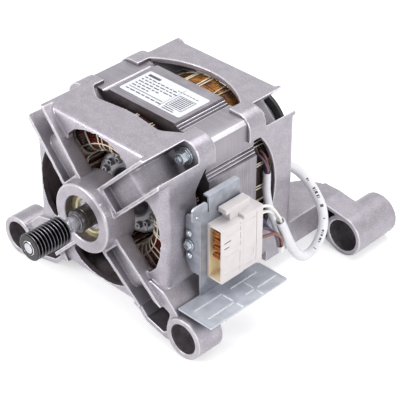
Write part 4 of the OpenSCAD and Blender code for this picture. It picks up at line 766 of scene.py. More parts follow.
# Pairs of cord loops tied round the section line, leaning a little this way and that
def lacingTree():
    tree, add, given = startTree("tieLoops", {
        "Loops": "Int", "Pair gap": "Float", "Lean": "Float", "Jitter": "Float", "Cord radius": "Float",
        "Sides": "Int", "Seed": "Int", "Finish": "Material"})
    section = add("GeometryNodeMeshToCurve", {"Mesh": given["Geometry"]})
    doubled = add("ShaderNodeMath", {0: given["Loops"], 1: 2.0}, operation="MULTIPLY")
    spots = add("GeometryNodePoints", {"Count": doubled, "Position": (0, 0, 0)})
    index = add("GeometryNodeInputIndex")
    halved = add("ShaderNodeMath", {0: index, 1: 2.0}, operation="DIVIDE")
    pair = add("ShaderNodeMath", {0: halved}, operation="FLOOR")
    second = add("ShaderNodeMath", {0: index, 1: 2.0}, operation="MODULO")
    step = add("ShaderNodeMath", {0: 2 * math.pi, 1: given["Loops"]}, operation="DIVIDE")
    angle = add("ShaderNodeMath", {0: pair, 1: step}, operation="MULTIPLY")
    beside = add("ShaderNodeMath", {0: second, 1: given["Pair gap"], 2: angle}, operation="MULTIPLY_ADD")
    loose, tipped = (add("FunctionNodeRandomValue", {"ID": owner, "Seed": given["Seed"], randomLow: -1.0,
                                                     randomHigh: 1.0}, data_type="FLOAT").outputs[randomOut]
                     for owner in (pair, index))
    jitter = add("ShaderNodeMath", {0: loose, 1: given["Jitter"], 2: beside}, operation="MULTIPLY_ADD")
    lean = add("ShaderNodeMath", {0: tipped, 1: given["Lean"]}, operation="MULTIPLY")
    pose = add("ShaderNodeCombineXYZ", {0: lean, 2: jitter})
    placed = add("GeometryNodeInstanceOnPoints", {"Points": spots, "Instance": section, "Rotation": pose})
    real = add("GeometryNodeRealizeInstances", {"Geometry": placed})
    return endTree(tree, roundAlong(add, real, given["Sides"], given["Cord radius"]), given["Finish"])


# A round cord or wire along the line given as the geometry
def strandTree():
    tree, add, given = startTree("drawStrand", {"Cord radius": "Float", "Sides": "Int", "Finish": "Material"})
    line = add("GeometryNodeMeshToCurve", {"Mesh": given["Geometry"]})
    return endTree(tree, roundAlong(add, line, given["Sides"], given["Cord radius"]), given["Finish"])


# A small part set on every point of the geometry, each with its own turn about the part's axis
def placingTree():
    tree, add, given = startTree("setOnPoints", {"Part": "Object", "Turn": "Float", "Seed": "Int",
                                                 "Finish": "Material"})
    part = add("GeometryNodeObjectInfo", {"Object": given["Part"]}).outputs["Geometry"]
    turn = add("FunctionNodeRandomValue", {"Seed": given["Seed"], randomLow: -1.0, randomHigh: 1.0},
               data_type="FLOAT").outputs[randomOut]
    angle = add("ShaderNodeMath", {0: turn, 1: given["Turn"]}, operation="MULTIPLY")
    pose = add("ShaderNodeCombineXYZ", {1: angle})
    placed = add("GeometryNodeInstanceOnPoints", {"Points": given["Geometry"], "Instance": part, "Rotation": pose})
    return endTree(tree, placed, given["Finish"])


trees = {tree.name: tree for tree in (windingTree(strayPattern), lacingTree(), strandTree(), placingTree())}


def grownOn(name, points, tree, values, finish, closed=False):  # what a tree makes of a line through points
    mesh = bpy.data.meshes.new(name)
    edges = [(i, i + 1) for i in range(len(points) - 1)] + ([(len(points) - 1, 0)] if closed else [])
    mesh.from_pydata(points, edges, [])
    thing = meshObject(name, mesh)
    growWith(thing, trees[tree], {**values, "Finish": finishes[finish]})
    return thing


def setOnPoints(name, part, points, finish, turn=0.0, seed=1):
    model = meshObject(name + "_model", part)
    values = {"Part": model, "Turn": turn, "Seed": seed}
    thing = grownOn(name, [at(*p) for p in points], "setOnPoints", values, finish)
    bpy.data.objects.remove(model)
    return thing


windingSettings = {
    "outer": 48.9, "inner": 31.2, "height": 23.6, "round": 6.0, "foot": 0.9, "straight": 6, "bend": 10,
    "wireRadius": 0.42, "turns": 60, "steps": 80, "wander": (0.05, 0.08), "lift": (0.0009, 0.00126), "nextSeed": 3.7,
    "bedShrink": -1.5, "bedFoot": 0.6, "bedRing": (36.5, 43.5), "bedSteps": 72, "bedSharp": 40,
    "loops": 24, "loopGrow": 0.55, "cordFoot": 1.0, "cordRadius": 0.4, "cordSides": 8,
    "pairGap": 0.034, "lean": 0.1, "jitter": 0.03,
    # the cords that run on from loop to loop: share along the section and sway of each, seed, sways a turn
    "runnerGrow": 0.6, "runners": ((0.30, 0.5), (0.52, 0.4), (0.78, 0.6)), "runnerSeed": 5, "stepsPerLoop": 6,
    "swayBelow": 21, "wave": (0.8, 5), "stray": (0.25, 7),
}
frontPlace = Matrix(((1, 0, 0, 0), (0, 0, -1, 77 * mm), (0, 1, 0, 0), (0, 0, 0, 1)))
rearPlace = Matrix(((-1, 0, 0, 0), (0, 0, 1, 117 * mm), (0, 1, 0, 0), (0, 0, 0, 1)))
tipped = Matrix(((1, 0, 0, 0), (0, 0, -1, 0), (0, 1, 0, 0), (0, 0, 0, 1)))  # from the shaft axis to z


def sectionLine(grow, bottom):  # half section of the wound ring from its outer to its inner foot
    s = windingSettings
    outer, inner, top, r = s["outer"] + grow, s["inner"] - grow, s["height"] + grow, s["round"] + grow
    straight, bend = s["straight"], s["bend"]
    turns = [math.radians(90 * k / bend) for k in range(bend + 1)]
    points = [(outer, bottom)]
    points += [(outer, bottom + (top - r - bottom) * k / straight) for k in range(1, straight + 1)]
    points += [(outer - r + r * math.cos(a), top - r + r * math.sin(a)) for a in turns[1:]]
    points += [(inner + r - r * math.sin(a), top - r + r * math.cos(a)) for a in turns]
    points += [(inner, top - r - (top - r - bottom) * k / straight) for k in range(1, straight + 1)]
    return points


def runnerLine(share, sway, phase, s):
    outline = [Vector(p) for p in sectionLine(s["runnerGrow"], s["cordFoot"])]
    spot = share * (len(outline) - 1)
    base = outline[int(spot)].lerp(outline[int(spot) + 1], spot % 1)
    steps = s["loops"] * s["stepsPerLoop"]
    (wave, waves), (stray, strays) = s["wave"], s["stray"]
    places = []
    for i in range(steps):
        a = 2 * math.pi * i / steps
        swing = math.sin(i * math.pi / 3 + phase) + wave * math.sin(waves * a + phase)
        up = base.y + sway * swing * (base.y < s["swayBelow"])
        r = base.x + stray * math.sin(strays * a + phase)
        places.append(Vector((r * math.cos(a), r * math.sin(a), up)) * mm)
    return places


def makeWinding(name, node, wireFinish, slot, seed, place):
    s = windingSettings
    wireLine = [at(r, 0, z) for r, z in sectionLine(0, s["foot"])]
    parts = [grownOn(name + "_wire", wireLine, "windTurns", {
        "Turns": s["turns"], "Steps": s["steps"], "Wire radius": s["wireRadius"] * mm, "Wander": s["wander"][k],
        "Lift": s["lift"][k], "Seed": seed + s["nextSeed"] * k}, wireFinish) for k in range(2)]
    low, (inner, outer) = s["bedFoot"], s["bedRing"]
    bed = turned("bed", sectionLine(s["bedShrink"], low) + [(inner, low), (outer, low)], s["bedSteps"], s["bedSharp"])
    bed.transform(tipped)
    parts.append(meshObject("bed", bed, "windingVarnish"))
    cord = {"Cord radius": s["cordRadius"] * mm, "Sides": s["cordSides"]}
    loopLine = [at(r, 0, z) for r, z in sectionLine(s["loopGrow"], s["cordFoot"])]
    parts.append(grownOn(name + "_lacing", loopLine, "tieLoops", {
        **cord, "Loops": s["loops"], "Pair gap": s["pairGap"], "Lean": s["lean"], "Jitter": s["jitter"],
        "Seed": seed}, "lacingCord"))
    rng = random.Random(seed + s["runnerSeed"])
    for share, sway in s["runners"]:
        running = runnerLine(share, sway, rng.uniform(0, 6), s)
        parts.append(grownOn(name + "_runner", running, "drawStrand", cord, "lacingCord", closed=True))
    whole = joined(name, parts)
    whole.data.transform(place)
    dress(whole, None, "stator", slot, node)


makeWinding("wound_front_turns", "front_winding", "darkEnamelWire", "dark_winding", 11, frontPlace)
makeWinding("wound_rear_turns", "rear_winding", "copperEnamelWire", "copper_winding", 23, rearPlace)
print("stage: windings")


def boxMesh(name, boxes, turns=(0,)):  # blocks, each given by its low and high corner, turned about the shaft
    work = bmesh.new()
    for low, high in boxes:
        for turn in turns:
            made = bmesh.ops.create_cube(work, size=1.0)["verts"]
            bmesh.ops.scale(work, vec=[(b - a) * mm for a, b in zip(low, high)], verts=made)
            bmesh.ops.translate(work, vec=[(a + b) / 2 * mm for a, b in zip(low, high)], verts=made)
            bmesh.ops.rotate(work, cent=(0, 0, 0), matrix=Matrix.Rotation(math.radians(turn), 3, "Y"), verts=made)
    return meshFrom(work, name)


def cutWith(thing, mesh, way="DIFFERENCE"):
    cutter = meshObject("cutter", mesh)
    bite = thing.modifiers.new("bite", "BOOLEAN")
    bite.object = cutter
    bite.operation = way
    bite.solver = "EXACT"
    bakeModifiers(thing)
    bpy.data.objects.remove(cutter)


def softEdges(thing, width, segments=2):  # small even radii on the edges over 30 degrees
    soften = thing.modifiers.new("edge", "BEVEL")
    soften.width = width * mm
    soften.segments = segments
    soften.limit_method = "ANGLE"
    soften.angle_limit = math.radians(30)
    soften.use_clamp_overlap = True
    bakeModifiers(thing)
    markSharp(thing.data, 32)
    even = thing.modifiers.new("even", "WEIGHTED_NORMAL")
    even.keep_sharp = True
    bakeModifiers(thing)
    return thing


def bevelledCopy(name, node, width, cuts=(), blocks=()):
    thing = mergedCopy(name, node)
    work = bmesh.new()
    work.from_mesh(thing.data)
    bmesh.ops.dissolve_limit(work, angle_limit=math.radians(1.5), verts=work.verts, edges=work.edges)
    work.to_mesh(thing.data)
    work.free()
    for block in blocks:
        cutWith(thing, boxMesh("block", [block]), "UNION")
    if cuts:
        cutWith(thing, boxMesh("cuts", cuts))
    return softEdges(thing, width)


shaftSettings = {
    "outline": [(0, -13.1), (3.9, -13.1), (4.25, -13.0), (4.62, -12.7), (4.75, -12.4), (4.75, 15.9), (4.6, 16.1),
                (4.25, 16.15), (4.25, 17.25), (4.6, 17.3), (4.75, 17.5), (4.75, 22.9), (5.0, 23.2), (5.0, 32.9),
                (7.5, 32.9), (7.5, 44.5), (9.0, 44.5), (9.0, 155.8), (6.0, 155.8), (6.0, 166.4), (4.0, 166.4),
                (4.0, 174.3), (3.6, 174.8), (0, 174.8)],
    "noseRing": [(3.2, -13.0, 0), (3.3, -13.1, 0.05), (4.05, -13.1, 0.1), (4.72, -12.62, 0.1), (4.72, -12.5, 0),
                 (3.2, -12.5, 0)],
    "noseSteps": 64,
}


def makeShaft(s):
    shaft = meshObject("turned_shaft", turned("shaft", s["outline"]))
    dress(shaft, "groundSteel", "rotor", "ground_steel", "shaft")
    ring = turned("noseRing", roundedOutline(s["noseRing"], 2), s["noseSteps"])
    dress(meshObject("oxidised_nose_ring", ring), "blackOxideSteel", "rotor", "black_steel")


pulleySettings = {
    "rim": 8.5, "pitch": 2.34, "grooves": 10, "steps": 112, "sharp": 20,
    "end": ((4.76, 12.5), (7.7, 12.5), (8.2, 12.3), (8.45, 11.95)),  # radius and distance from the middle
    "groove": ((0.02, 1.02), (0.16, 0.92), (1.88, 0.3), (2.0, 0.16)),  # depth and distance from its middle
    "notch": ((5.0, -13.15, -0.8), (8.2, -11.25, 0.8)), "notchTurn": 135, "highlightBand": (8.28, 12),
}


def makePulley(s):
    outline = [(r, -y) for r, y in s["end"]]
    for i in range(s["grooves"]):
        y = (i - (s["grooves"] - 1) / 2) * s["pitch"]
        outline += [(s["rim"] - deep, y - aside) for deep, aside in s["groove"]]
        outline += [(s["rim"] - deep, y + aside) for deep, aside in s["groove"][::-1]]
    outline += s["end"][::-1]
    ribbed = meshObject("turned_pulley", turned("pulley", outline, s["steps"], s["sharp"]))
    cutWith(ribbed, boxMesh("notch", [s["notch"]], (s["notchTurn"],)))
    markSharp(ribbed.data, s["sharp"])
    dress(ribbed, "blackOxideSteel", "rotor", "black_steel", "drive_pulley")
    # painted highlight on the crests of the ribs
    reach, aside = s["highlightBand"]
    paintWhere(ribbed, "crestHighlightBlack", lambda p, n: math.hypot(p.x, p.z) > reach and abs(p.y) < aside)


collarSettings = {
    "outline": [(5.02, 23.0, 0), (6.9, 23.0, 0.5), (6.98, 26.2, 0), (6.72, 26.4, 0), (6.72, 26.9, 0),
                (6.98, 27.1, 0), (6.98, 32.85, 0.3), (5.02, 32.85, 0)],
    "steps": 72,
}


def makeCollar(s):
    collar = meshObject("turned_collar", turned("collar", roundedOutline(s["outline"], 3), s["steps"]))
    dress(collar, "burnishedCollar", "rotor", "dark_collar", "shaft_collar")


rotorSettings = {  # corners of the end ring, and of the pegs and shallow pads cast on it, with their roundings
    "ring": [(15, 0, 0), (27.5, 0, 0), (27.5, 11, 2.4), (15, 11, 1.6)],
    "peg": [(0, 0, 0), (2.35, 0, 0), (2.1, 2.2, 0.4), (1.05, 2.2, 0.15), (0.95, 0.6, 0), (0, 0.4, 0)],
    "pad": [(0, 0, 0), (1.5, 0, 0), (1.3, 0.7, 0.2), (0, 0.7, 0)],
    "count": 16, "pegSteps": 20, "padSteps": 16, "turn": 3.1, "seed": 4,
    "pegPlace": (21.25, 11.0, 0.0), "padPlace": (24.2, 10.7, 0.5),  # radius, height, share of a step on
    "places": (Matrix(((1, 0, 0, 0), (0, -1, 0, 77 * mm), (0, 0, -1, 0), (0, 0, 0, 1))),
               Matrix.Translation((0, 117 * mm, 0))),
}


def makeRotorRings(s):
    def castOn(name, part, radius, height, shift):
        angles = [2 * math.pi * (i + shift) / s["count"] for i in range(s["count"])]
        spots = [(radius * math.cos(a), height, radius * math.sin(a)) for a in angles]
        return setOnPoints(name, part, spots, "castRotorAluminium", s["turn"], s["seed"])

    halves = []
    for place in s["places"]:
        ring = meshObject("ring", turned("ring", roundedOutline(s["ring"], 5)), "castRotorAluminium")
        pegs = castOn("pegs", turned("peg", roundedOutline(s["peg"], 3), s["pegSteps"]), *s["pegPlace"])
        pads = castOn("pads", turned("pad", roundedOutline(s["pad"], 2), s["padSteps"]), *s["padPlace"])
        half = joined("half", [ring, pegs, pads])
        half.data.transform(place)
        halves.append(half)
    dress(joined("cast_rotor_rings", halves), None, "rotor", "rotor_aluminium", "rotor_cage")


sealSettings = {
    # faces of each bearing along the shaft, and the inner and outer radius of its shields
    "bearings": {"front": (33.5, 44.5, 9.95, 15.62), "rear": (155.8, 165.8, 8.45, 14.1)},
    "inset": 0.2, "sharp": 50,
    # the pressed profile: distance from the inner or outer edge, and depth
    "inner": ((0, 0), (0.5, 0), (0.9, 0.22), (1.5, 0.24), (1.9, 0.02)),
    "outer": ((-2.0, 0.02), (-1.6, 0.2), (-0.8, 0.2), (-0.4, 0), (0, 0.1), (0, 0.8)), "last": (0, 0.8),
}


def makeShields(s):
    for name, (start, end, inner, outer) in s["bearings"].items():
        profile = [(inner + r, deep) for r, deep in s["inner"]] + [(outer + r, deep) for r, deep in s["outer"]]
        profile.append((inner + s["last"][0], s["last"][1]))
        faces = [meshObject("shield", turned("shield", [(r, y + deep * way) for r, deep in profile], 96, s["sharp"]))
                 for y, way in ((start + s["inset"], 1), (end - s["inset"], -1))]
        both = joined("pressed_shields_" + name, faces)
        dress(both, "bearingShield", "stator", "seal", name + "_bearing_seals")


makeShaft(shaftSettings)
makePulley(pulleySettings)
makeCollar(collarSettings)
makeRotorRings(rotorSettings)
makeShields(sealSettings)
print("stage: shaft, pulley and rotor")


clampSettings = {
    "spots": ((45, 45), (-45, 45), (45, -45), (-45, -45)), "flats": 8.0, "nutHeight": 4.0, "nutBore": 5.1,
    "tip": ((0, -0.9), (1.9, -0.9), (2.3, -0.5)), "threadFrom": -0.2, "threadTo": 5.4, "pitch": 0.8,
    "threadTurn": ((2.5, 0), (2.5, 0.1), (2.14, 0.4), (2.14, 0.5)), "shank": (2.45, 64.5), "rodSteps": 32,
    "rodPlace": 62.25, "headPlace": 126.1, "nutPlace": 66.95, "turn": 3.1,
    "broad": [(2.7, 0, 0.1), (5.5, 0, 0.25), (5.5, 0.98, 0.25), (2.7, 0.98, 0.1)],
    "narrow": [(2.7, 0, 0.1), (4.5, 0, 0.2), (4.5, 0.98, 0.3), (2.7, 0.98, 0.1)],
    "washers": (("broad", 68.0), ("narrow", 66.99), ("broad", 125.02)), "washerSteps": 56,
}
hexSettings = {"steps": 72, "rise": 0.12, "slope": 0.6, "foot": 0.7, "lowFace": 0.94, "highFace": 0.93, "lead": 0.35}


def hexMesh(name, flats, height, bore=0.0):  # a nut or a head, its corners chamfered at the top
    s, flat, hole = hexSettings, flats / 2, bore / 2
    columns = []
    for i in range(s["steps"]):
        wedge = (360 * i / s["steps"] + 30) % 60 - 30
        r = flat / math.cos(math.radians(wedge))
        slip = (r - flat + s["rise"]) * s["slope"]
        top = [(hole + s["lead"], height), (hole, height - s["lead"])] if bore else [(flat / 2, height), (0, height)]
        columns.append([(hole, 0), (flat * s["lowFace"], 0), (r, slip * s["foot"]), (r, height - slip),
                        (flat * s["highFace"], height)] + top)
    return spun(name, columns, 32)


def flipped(mesh):  # turned half round, to point to the front
    mesh.transform(Matrix.Rotation(math.pi, 4, "X"))
    return mesh


def makeClamps(s):
    def atCorners(name, part, y, turn=s["turn"], seed=1):
        return setOnPoints(name, part, [(x, y, z) for x, z in s["spots"]], "zincFastener", turn, seed)

    thread, y = list(s["tip"]), s["threadFrom"]
    while y < s["threadTo"]:
        thread += [(r, y + step) for r, step in s["threadTurn"]]
        y += s["pitch"]
    radius, end = s["shank"]
    thread += [(radius, y), (radius, end), (0, end)]
    rods = atCorners("rods", turned("rod", thread, s["rodSteps"], 25), s["rodPlace"], seed=3)
    heads = atCorners("heads", hexMesh("head", s["flats"], s["nutHeight"]), s["headPlace"], seed=5)
    dress(joined("threaded_clamp_bolts", [rods, heads]), None, "stator", "zinc_fastener", "clamp_bolts")
    nut = flipped(hexMesh("nut", s["flats"], s["nutHeight"], s["nutBore"]))
    dress(atCorners("chamfered_nuts", nut, s["nutPlace"], seed=8), None, "stator", "zinc_fastener", "clamp_nuts")
    sets = [atCorners("washers", turned(size, roundedOutline(s[size], 3), s["washerSteps"]), y, 0.0)
            for size, y in s["washers"]]
    dress(joined("round_washers", sets), None, "stator", "zinc_fastener", "clamp_washers")


makeClamps(clampSettings)
print("stage: clamp hardware")


contactSettings = {
    "rows": (7.2, 2.2, -2.8, -7.8), "front": 63.5, "back": 75.0, "middle": 74.0, "wall": 0.45, "edge": 0.12,
    "wide": 3.5, "tall": 1.8,
    # outline of a contact seen from the front
    "hexagon": ((-3.5, 0), (-1.9, 1.8), (1.9, 1.8), (3.5, 0), (1.9, -1.8), (-1.9, -1.8)),
    # low and high corners from the contact's front and middle: the folded plates, and the blade between them
    "plates": (((-2.6, 0.35, -1.25), (2.6, 1.5, -0.28)), ((-2.6, 0.35, 0.28), (2.6, 1.5, 1.25))),
    "blade": (((-2.3, 0.25, -0.22), (2.9, 11.5, 0.22)),),
    "rearBlades": ((72.65, 73.5, -14.2), (73.45, 80.4, -11.4)), "strip": (0.5, 0.3),
}
connectorSettings = {
    "side": 78.85, "proud": 0.5, "sheetEdge": 0.22, "headerEdge": 0.16, "coverEdge": 0.2,
    "slots": ((64.8, 70.5, 1.85, 2.55), (64.9, 69.3, -1.95, -1.25)), "slotDepth": 0.6,
    # grooves along z in the side: depth, y, half width, and where each starts and ends
    "seam": (0.35, 78.1, 0.22, ((9.4, 11.2), (5.4, 8.3), (-0.6, 4.1), (-4.8, -2.0), (-17.5, -9.0), (-23.5, -19.5))),
    "rib": (0.4, 91.8, 0.2, ((-22.8, 11.6),)),
    # grooves along y: depth, half width, start and end, and their heights
    "headerLines": (0.14, 0.12, (65.5, 77.2), (6.3, -7.5, -20.2)),
    "coverLines": (0.25, 0.15, (82.6, 90.4), (9.2, -21.5)),
    "headerBlock": ((69.2, 72.2, -26.9), (75.6, 76.4, -25.0)),
    "wireSlot": (66.9, 0.4, (96.6, 97.5), (-2.55, -2.35)),
    "hook": ((87.6, -17.2, 90.2, -16.4), (89.4, -16.8, 90.2, -12.6)), "hookDepth": (0.2, 0.28),
    "upright": (0.7, -36), "bead": (67.6, -36.98, -36.3), "bend": 0.93,
    "mouth": ((68.3, 77.8), 63.3, (-24.4, 11.0)),
}


def hexagonTube(name, z, s):
    work = bmesh.new()
    rings = []
    for y, shrink in ((s["front"], s["wall"]), (s["back"], s["wall"]), (s["back"], 0), (s["front"], 0)):
        rings.append([work.verts.new(at(s["middle"] + x * (1 - shrink / s["wide"]), y,
                                        z + h * (1 - shrink / s["tall"]))) for x, h in s["hexagon"]])
    for a, b in zip(rings, rings[1:] + rings[:1]):
        for k in range(6):
            work.faces.new((a[k], a[(k + 1) % 6], b[(k + 1) % 6], b[k]))
    bmesh.ops.recalc_face_normals(work, faces=work.faces)
    return meshFrom(work, name)


def makeContacts(s, c):
    parts = []
    for z in s["rows"]:
        parts.append(softEdges(meshObject("shell", hexagonTube("shell", z, s), "bronzeContact"), s["edge"], 1))
        for part, finish in (("plates", "bronzeContact"), ("blade", "bronzeShade")):
            boxes = [[(s["middle"] + x, s["front"] + y, z + h) for x, y, h in box] for box in s[part]]
            parts.append(meshObject(part, boxMesh(part, boxes), finish))
    deep, shallow = s["strip"]
    strips = [((c["side"] - deep, y0, z0), (c["side"] - shallow, y1, z1)) for y0, y1, z0, z1 in c["slots"]]
    parts.append(meshObject("strips", boxMesh("strips", strips), "bronzeShade"))
    parts.append(meshObject("rearBlades", boxMesh("rearBlades", [s["rearBlades"]]), "bronzeContact"))
    dress(joined("folded_contacts", parts), None, "stator", "contact_metal", "connector_terminals")


def makeConnector(c):
    side, out = c["side"], c["side"] + c["proud"]

    def upright(depth, y, half, spans):  # cutting blocks for grooves along z
        return [((side - depth, y - half, z0), (out, y + half, z1)) for z0, z1 in spans]

    def level(depth, half, ends, heights):  # and for grooves along y
        return [((side - depth, ends[0], z - half), (out, ends[1], z + half)) for z in heights]

    sheet = bevelledCopy("pressed_connector_bracket", "connector_bracket", c["sheetEdge"])
    sheet.data.materials.append(finishes["zincPlatedSheet"])
    lying, foot = c["upright"]
    beadX, beadLow, beadHigh = c["bead"]
    # painted shade on the upright faces, painted highlight on the bead crests and bends
    paintWhere(sheet, "shadedZincUpright", lambda p, n: abs(n.z) < lying and p.z > foot)
    paintWhere(sheet, "zincHighlight", lambda p, n: (p.x > beadX and beadLow < p.z < beadHigh)
               or max(abs(n.x), abs(n.y), abs(n.z)) < c["bend"])
    dress(sheet, None, "stator", "zinc_sheet", "connector_bracket")
    cuts = [((side - c["slotDepth"], y0, z0), (out, y1, z1)) for y0, y1, z0, z1 in c["slots"]]
    header = bevelledCopy("moulded_header", "connector_header", c["headerEdge"],
                          cuts + upright(*c["seam"]) + level(*c["headerLines"]), [c["headerBlock"]])
    header.data.materials.append(finishes["mouldedNylon"])
    (x0, x1), y0, (z0, z1) = c["mouth"]
    paintWhere(header, "creamNylon", lambda p, n: x0 < p.x < x1 and p.y > y0 and z0 < p.z < z1)
    dress(header, None, "stator", "white_nylon", "connector_header")
    start, past, ends, (low, high) = c["wireSlot"]
    slots = [((start, ends[0], z + low), (side + past, ends[1], z + high)) for z in contactSettings["rows"]]
    under, over = c["hookDepth"]
    hook = [((side - under, y0, z0), (side + over, y1, z1)) for y0, z0, y1, z1 in c["hook"]]
    cover = bevelledCopy("moulded_cover", "connector_cover", c["coverEdge"],
                         upright(*c["rib"]) + level(*c["coverLines"]) + slots, hook)
    dress(cover, "mouldedNylon", "stator", "white_nylon", "connector_cover")


makeConnector(connectorSettings)
makeContacts(contactSettings, connectorSettings)
print("stage: connector")


labelSettings = {
    "low": (-25, 82.75), "high": (25, 109.25), "foot": 55.02, "thick": 0.12, "corner": 1.4, "cornerSteps": 6,
    "ink": (-0.02, 0.012), "seed": 7, "head": (-22.4, 104.2, -12.6, 106.4),
    # rows of bars like words: start, end, height, thickness, shortest and longest, gap, how far the last runs on
    "rows": [(-22.4, end, y, 0.95, (1.6, 4.4), 0.9, 1) for y, end in
             ((101.6, 3.2), (98.9, 6.0), (96.2, 4.4), (93.5, -4.0), (90.8, -9.5))]
    + [(3.5, 19, 103.6, 0.7, (1.2, 2.6), 0.7, 99), (-22.4, 4, 85.6, 1.0, (1.8, 4.6), 0.9, 99)],
    "rules": ((-22.4, 88.4, 5.6, 89.0), (6.7, 84.2, 6.95, 107.6)),
    # the framed field: its corners, the width of the frame, and the lines in it
    "frame": (8.5, 88.0, 21.5, 101.0), "frameWidth": 0.5, "inset": (1.4, 1.5), "lineStep": 1.6, "line": 0.8,
    "lastRows": (84.2, 86.0), "lastStart": 9.2, "lastLengths": (7, 10),
}


# A film label with generic print only: grey bars in lines, a divider and a plain framed field
def makeLabel(s):
    (x0, y0), (x1, y1), r = s["low"], s["high"], s["corner"]
    rim = []
    for cx, cy, start in ((x1 - r, y1 - r, 0), (x0 + r, y1 - r, 90), (x0 + r, y0 + r, 180), (x1 - r, y0 + r, 270)):
        turns = [math.radians(start + 90 * k / s["cornerSteps"]) for k in range(s["cornerSteps"] + 1)]
        rim += [(cx + r * math.cos(a), cy + r * math.sin(a)) for a in turns]
    level = s["foot"] + s["thick"]
    work = bmesh.new()
    base, top = ([work.verts.new(at(x, y, z)) for x, y in rim] for z in (s["foot"], level))
    work.faces.new(top)
    work.faces.new(base[::-1])
    for k in range(len(rim)):
        k2 = (k + 1) % len(rim)
        work.faces.new((base[k], base[k2], top[k2], top[k]))
    bmesh.ops.recalc_face_normals(work, faces=work.faces)
    film = meshObject("film", meshFrom(work, "film"), "paperLabel")
    rng = random.Random(s["seed"])
    bars = [s["head"], *s["rules"]]
    for x, end, y, tall, lengths, gap, over in s["rows"]:
        while x < end:
            width = rng.uniform(*lengths)
            bars.append((x, y, min(x + width, end + over), y + tall))
            x += width + gap
    x0, y0, x1, y1 = s["frame"]
    w = s["frameWidth"]
    bars += [(x0, y0, x1, y0 + w), (x0, y1 - w, x1, y1), (x0, y0 + w, x0 + w, y1 - w), (x1 - w, y0 + w, x1, y1 - w)]
    aside, up = s["inset"]
    y = y0 + up
    while y < y1 - s["lineStep"]:
        bars.append((x0 + aside, y, x1 - aside, y + s["line"]))
        y += s["lineStep"]
    for y in s["lastRows"]:
        bars.append((s["lastStart"], y, s["lastStart"] + rng.uniform(*s["lastLengths"]), y + s["line"]))
    low, high = (level + part for part in s["ink"])
    ink = boxMesh("print", [((xa, ya, low), (xb, yb, high)) for xa, ya, xb, yb in bars])
    whole = joined("printed_label", [film, meshObject("ink", ink, "labelInk")])
    dress(whole, None, "stator", "label_film", "rating_label")


makeLabel(labelSettings)


screwSettings = {
    "plate": {"head": (3.0, 2.0), "shank": (1.95, 7.5), "washer": 3.7, "spots": [(58.6, 57.45, -4)]},
    "cap": {"head": (2.8, 1.8), "shank": (1.4, 8.0), "washer": 0.0, "spots": [(23.6, 178.05, 0), (-23.6, 178.05, 0)]},
    "rivet": [(0, -3.6, 0), (1.22, -3.6, 0.2), (1.22, 0, 0), (2.3, 0, 0.15), (2.1, 0.95, 0.5), (1.1, 1.6, 0.5),
              (0, 1.72, 0)],
    "rivetSpots": [(58.6, 57.45, 3.8), (58.6, 57.45, -11.8)],
    "flange": 0.95, "shoulder": 0.45, "crown": (0.78, 0.92), "cross": 0.36, "crossReach": 0.62, "crossDepth": 0.55,
}


def crossScrew(name, screw):  # pan head with a cross recess, on a flange if it has a washer
    s = screwSettings
    (radius, tall), (shank, length), washer = screw["head"], screw["shank"], screw["washer"]
    base = s["flange"] if washer else 0.0
    flange = [(washer, 0, 0.15), (washer, base, 0.25)] if washer else []
    outline = [(0, -length, 0), (shank, -length, 0.3), (shank, 0, 0), *flange, (radius, base, 0),
               (radius, base + tall * s["shoulder"], 0.3),
               (radius * s["crown"][0], base + tall * s["crown"][1], 0.5), (0, base + tall, 0)]
    thing = meshObject(name, turned(name, roundedOutline(outline, 3), 48, 32))
    top, reach, half = base + tall, radius * s["crossReach"], s["cross"]
    low = top - tall * s["crossDepth"]
    for x, z in ((reach, half), (half, reach)):
        cutWith(thing, boxMesh("cross", [((-x, low, -z), (x, top + 1, z))]))
    markSharp(thing.data, 30)
    mesh = thing.data
    bpy.data.objects.remove(thing)
    return mesh


def makeScrews(s):
    rivet = turned("rivet", roundedOutline(s["rivet"], 3), 40, 32)
    for name, mesh, spots, turn, seed, node in (
            ("bracket_cross_screw", flipped(crossScrew("plate", s["plate"])), s["plate"]["spots"], 0.4, 2,
             "bracket_screw"),
            ("domed_rivets", flipped(rivet), s["rivetSpots"], 3.1, 6, "bracket_rivets"),
            ("tacho_cross_screws", crossScrew("cap", s["cap"]), s["cap"]["spots"], 1.2, 9, "tacho_screws")):
        dress(setOnPoints(name, mesh, spots, "zincFastener", turn, seed), None, "stator", "zinc_fastener", node)


capSettings = {
    "outline": [(0, 176.6, 0), (14.4, 176.6, 0), (14.4, 175.02, 0), (26.95, 175.02, 0.3), (26.95, 177.95, 0.5),
                (17.4, 177.95, 0.3), (16.4, 180.35, 0.6), (12.6, 180.35, 0.4), (11.8, 179.2, 0.4), (4.6, 179.2, 0.3),
                (4.0, 180.1, 0.4), (0, 180.1, 0)],
    "hole": [(0, 174), (1.7, 174), (1.7, 177.0), (3.1, 177.2), (3.1, 179), (0, 179)], "holesAt": (-23.6, 23.6),
    "steps": 128, "sharp": 30, "rib": ((16.7, 177.75, -0.45), (25.3, 178.85, 0.45)), "ribEdge": 0.2,
    "ribTurns": [30 * i for i in range(12) if i % 6],  # none where the screws are
}


def makeTachoCap(s):
    cap = meshObject("cap", turned("cap", roundedOutline(s["outline"]), s["steps"], s["sharp"]))
    for x in s["holesAt"]:
        cutWith(cap, turned("hole", s["hole"], 32, s["sharp"], (x, 0)))
    markSharp(cap.data, s["sharp"])
    ribs = softEdges(meshObject("ribs", boxMesh("ribs", [s["rib"]], s["ribTurns"])), s["ribEdge"])
    dress(joined("ribbed_tacho_cap", [cap, ribs]), "blackNylon", "stator", "black_plastic", "tacho_cap")


makeScrews(screwSettings)
makeTachoCap(capSettings)


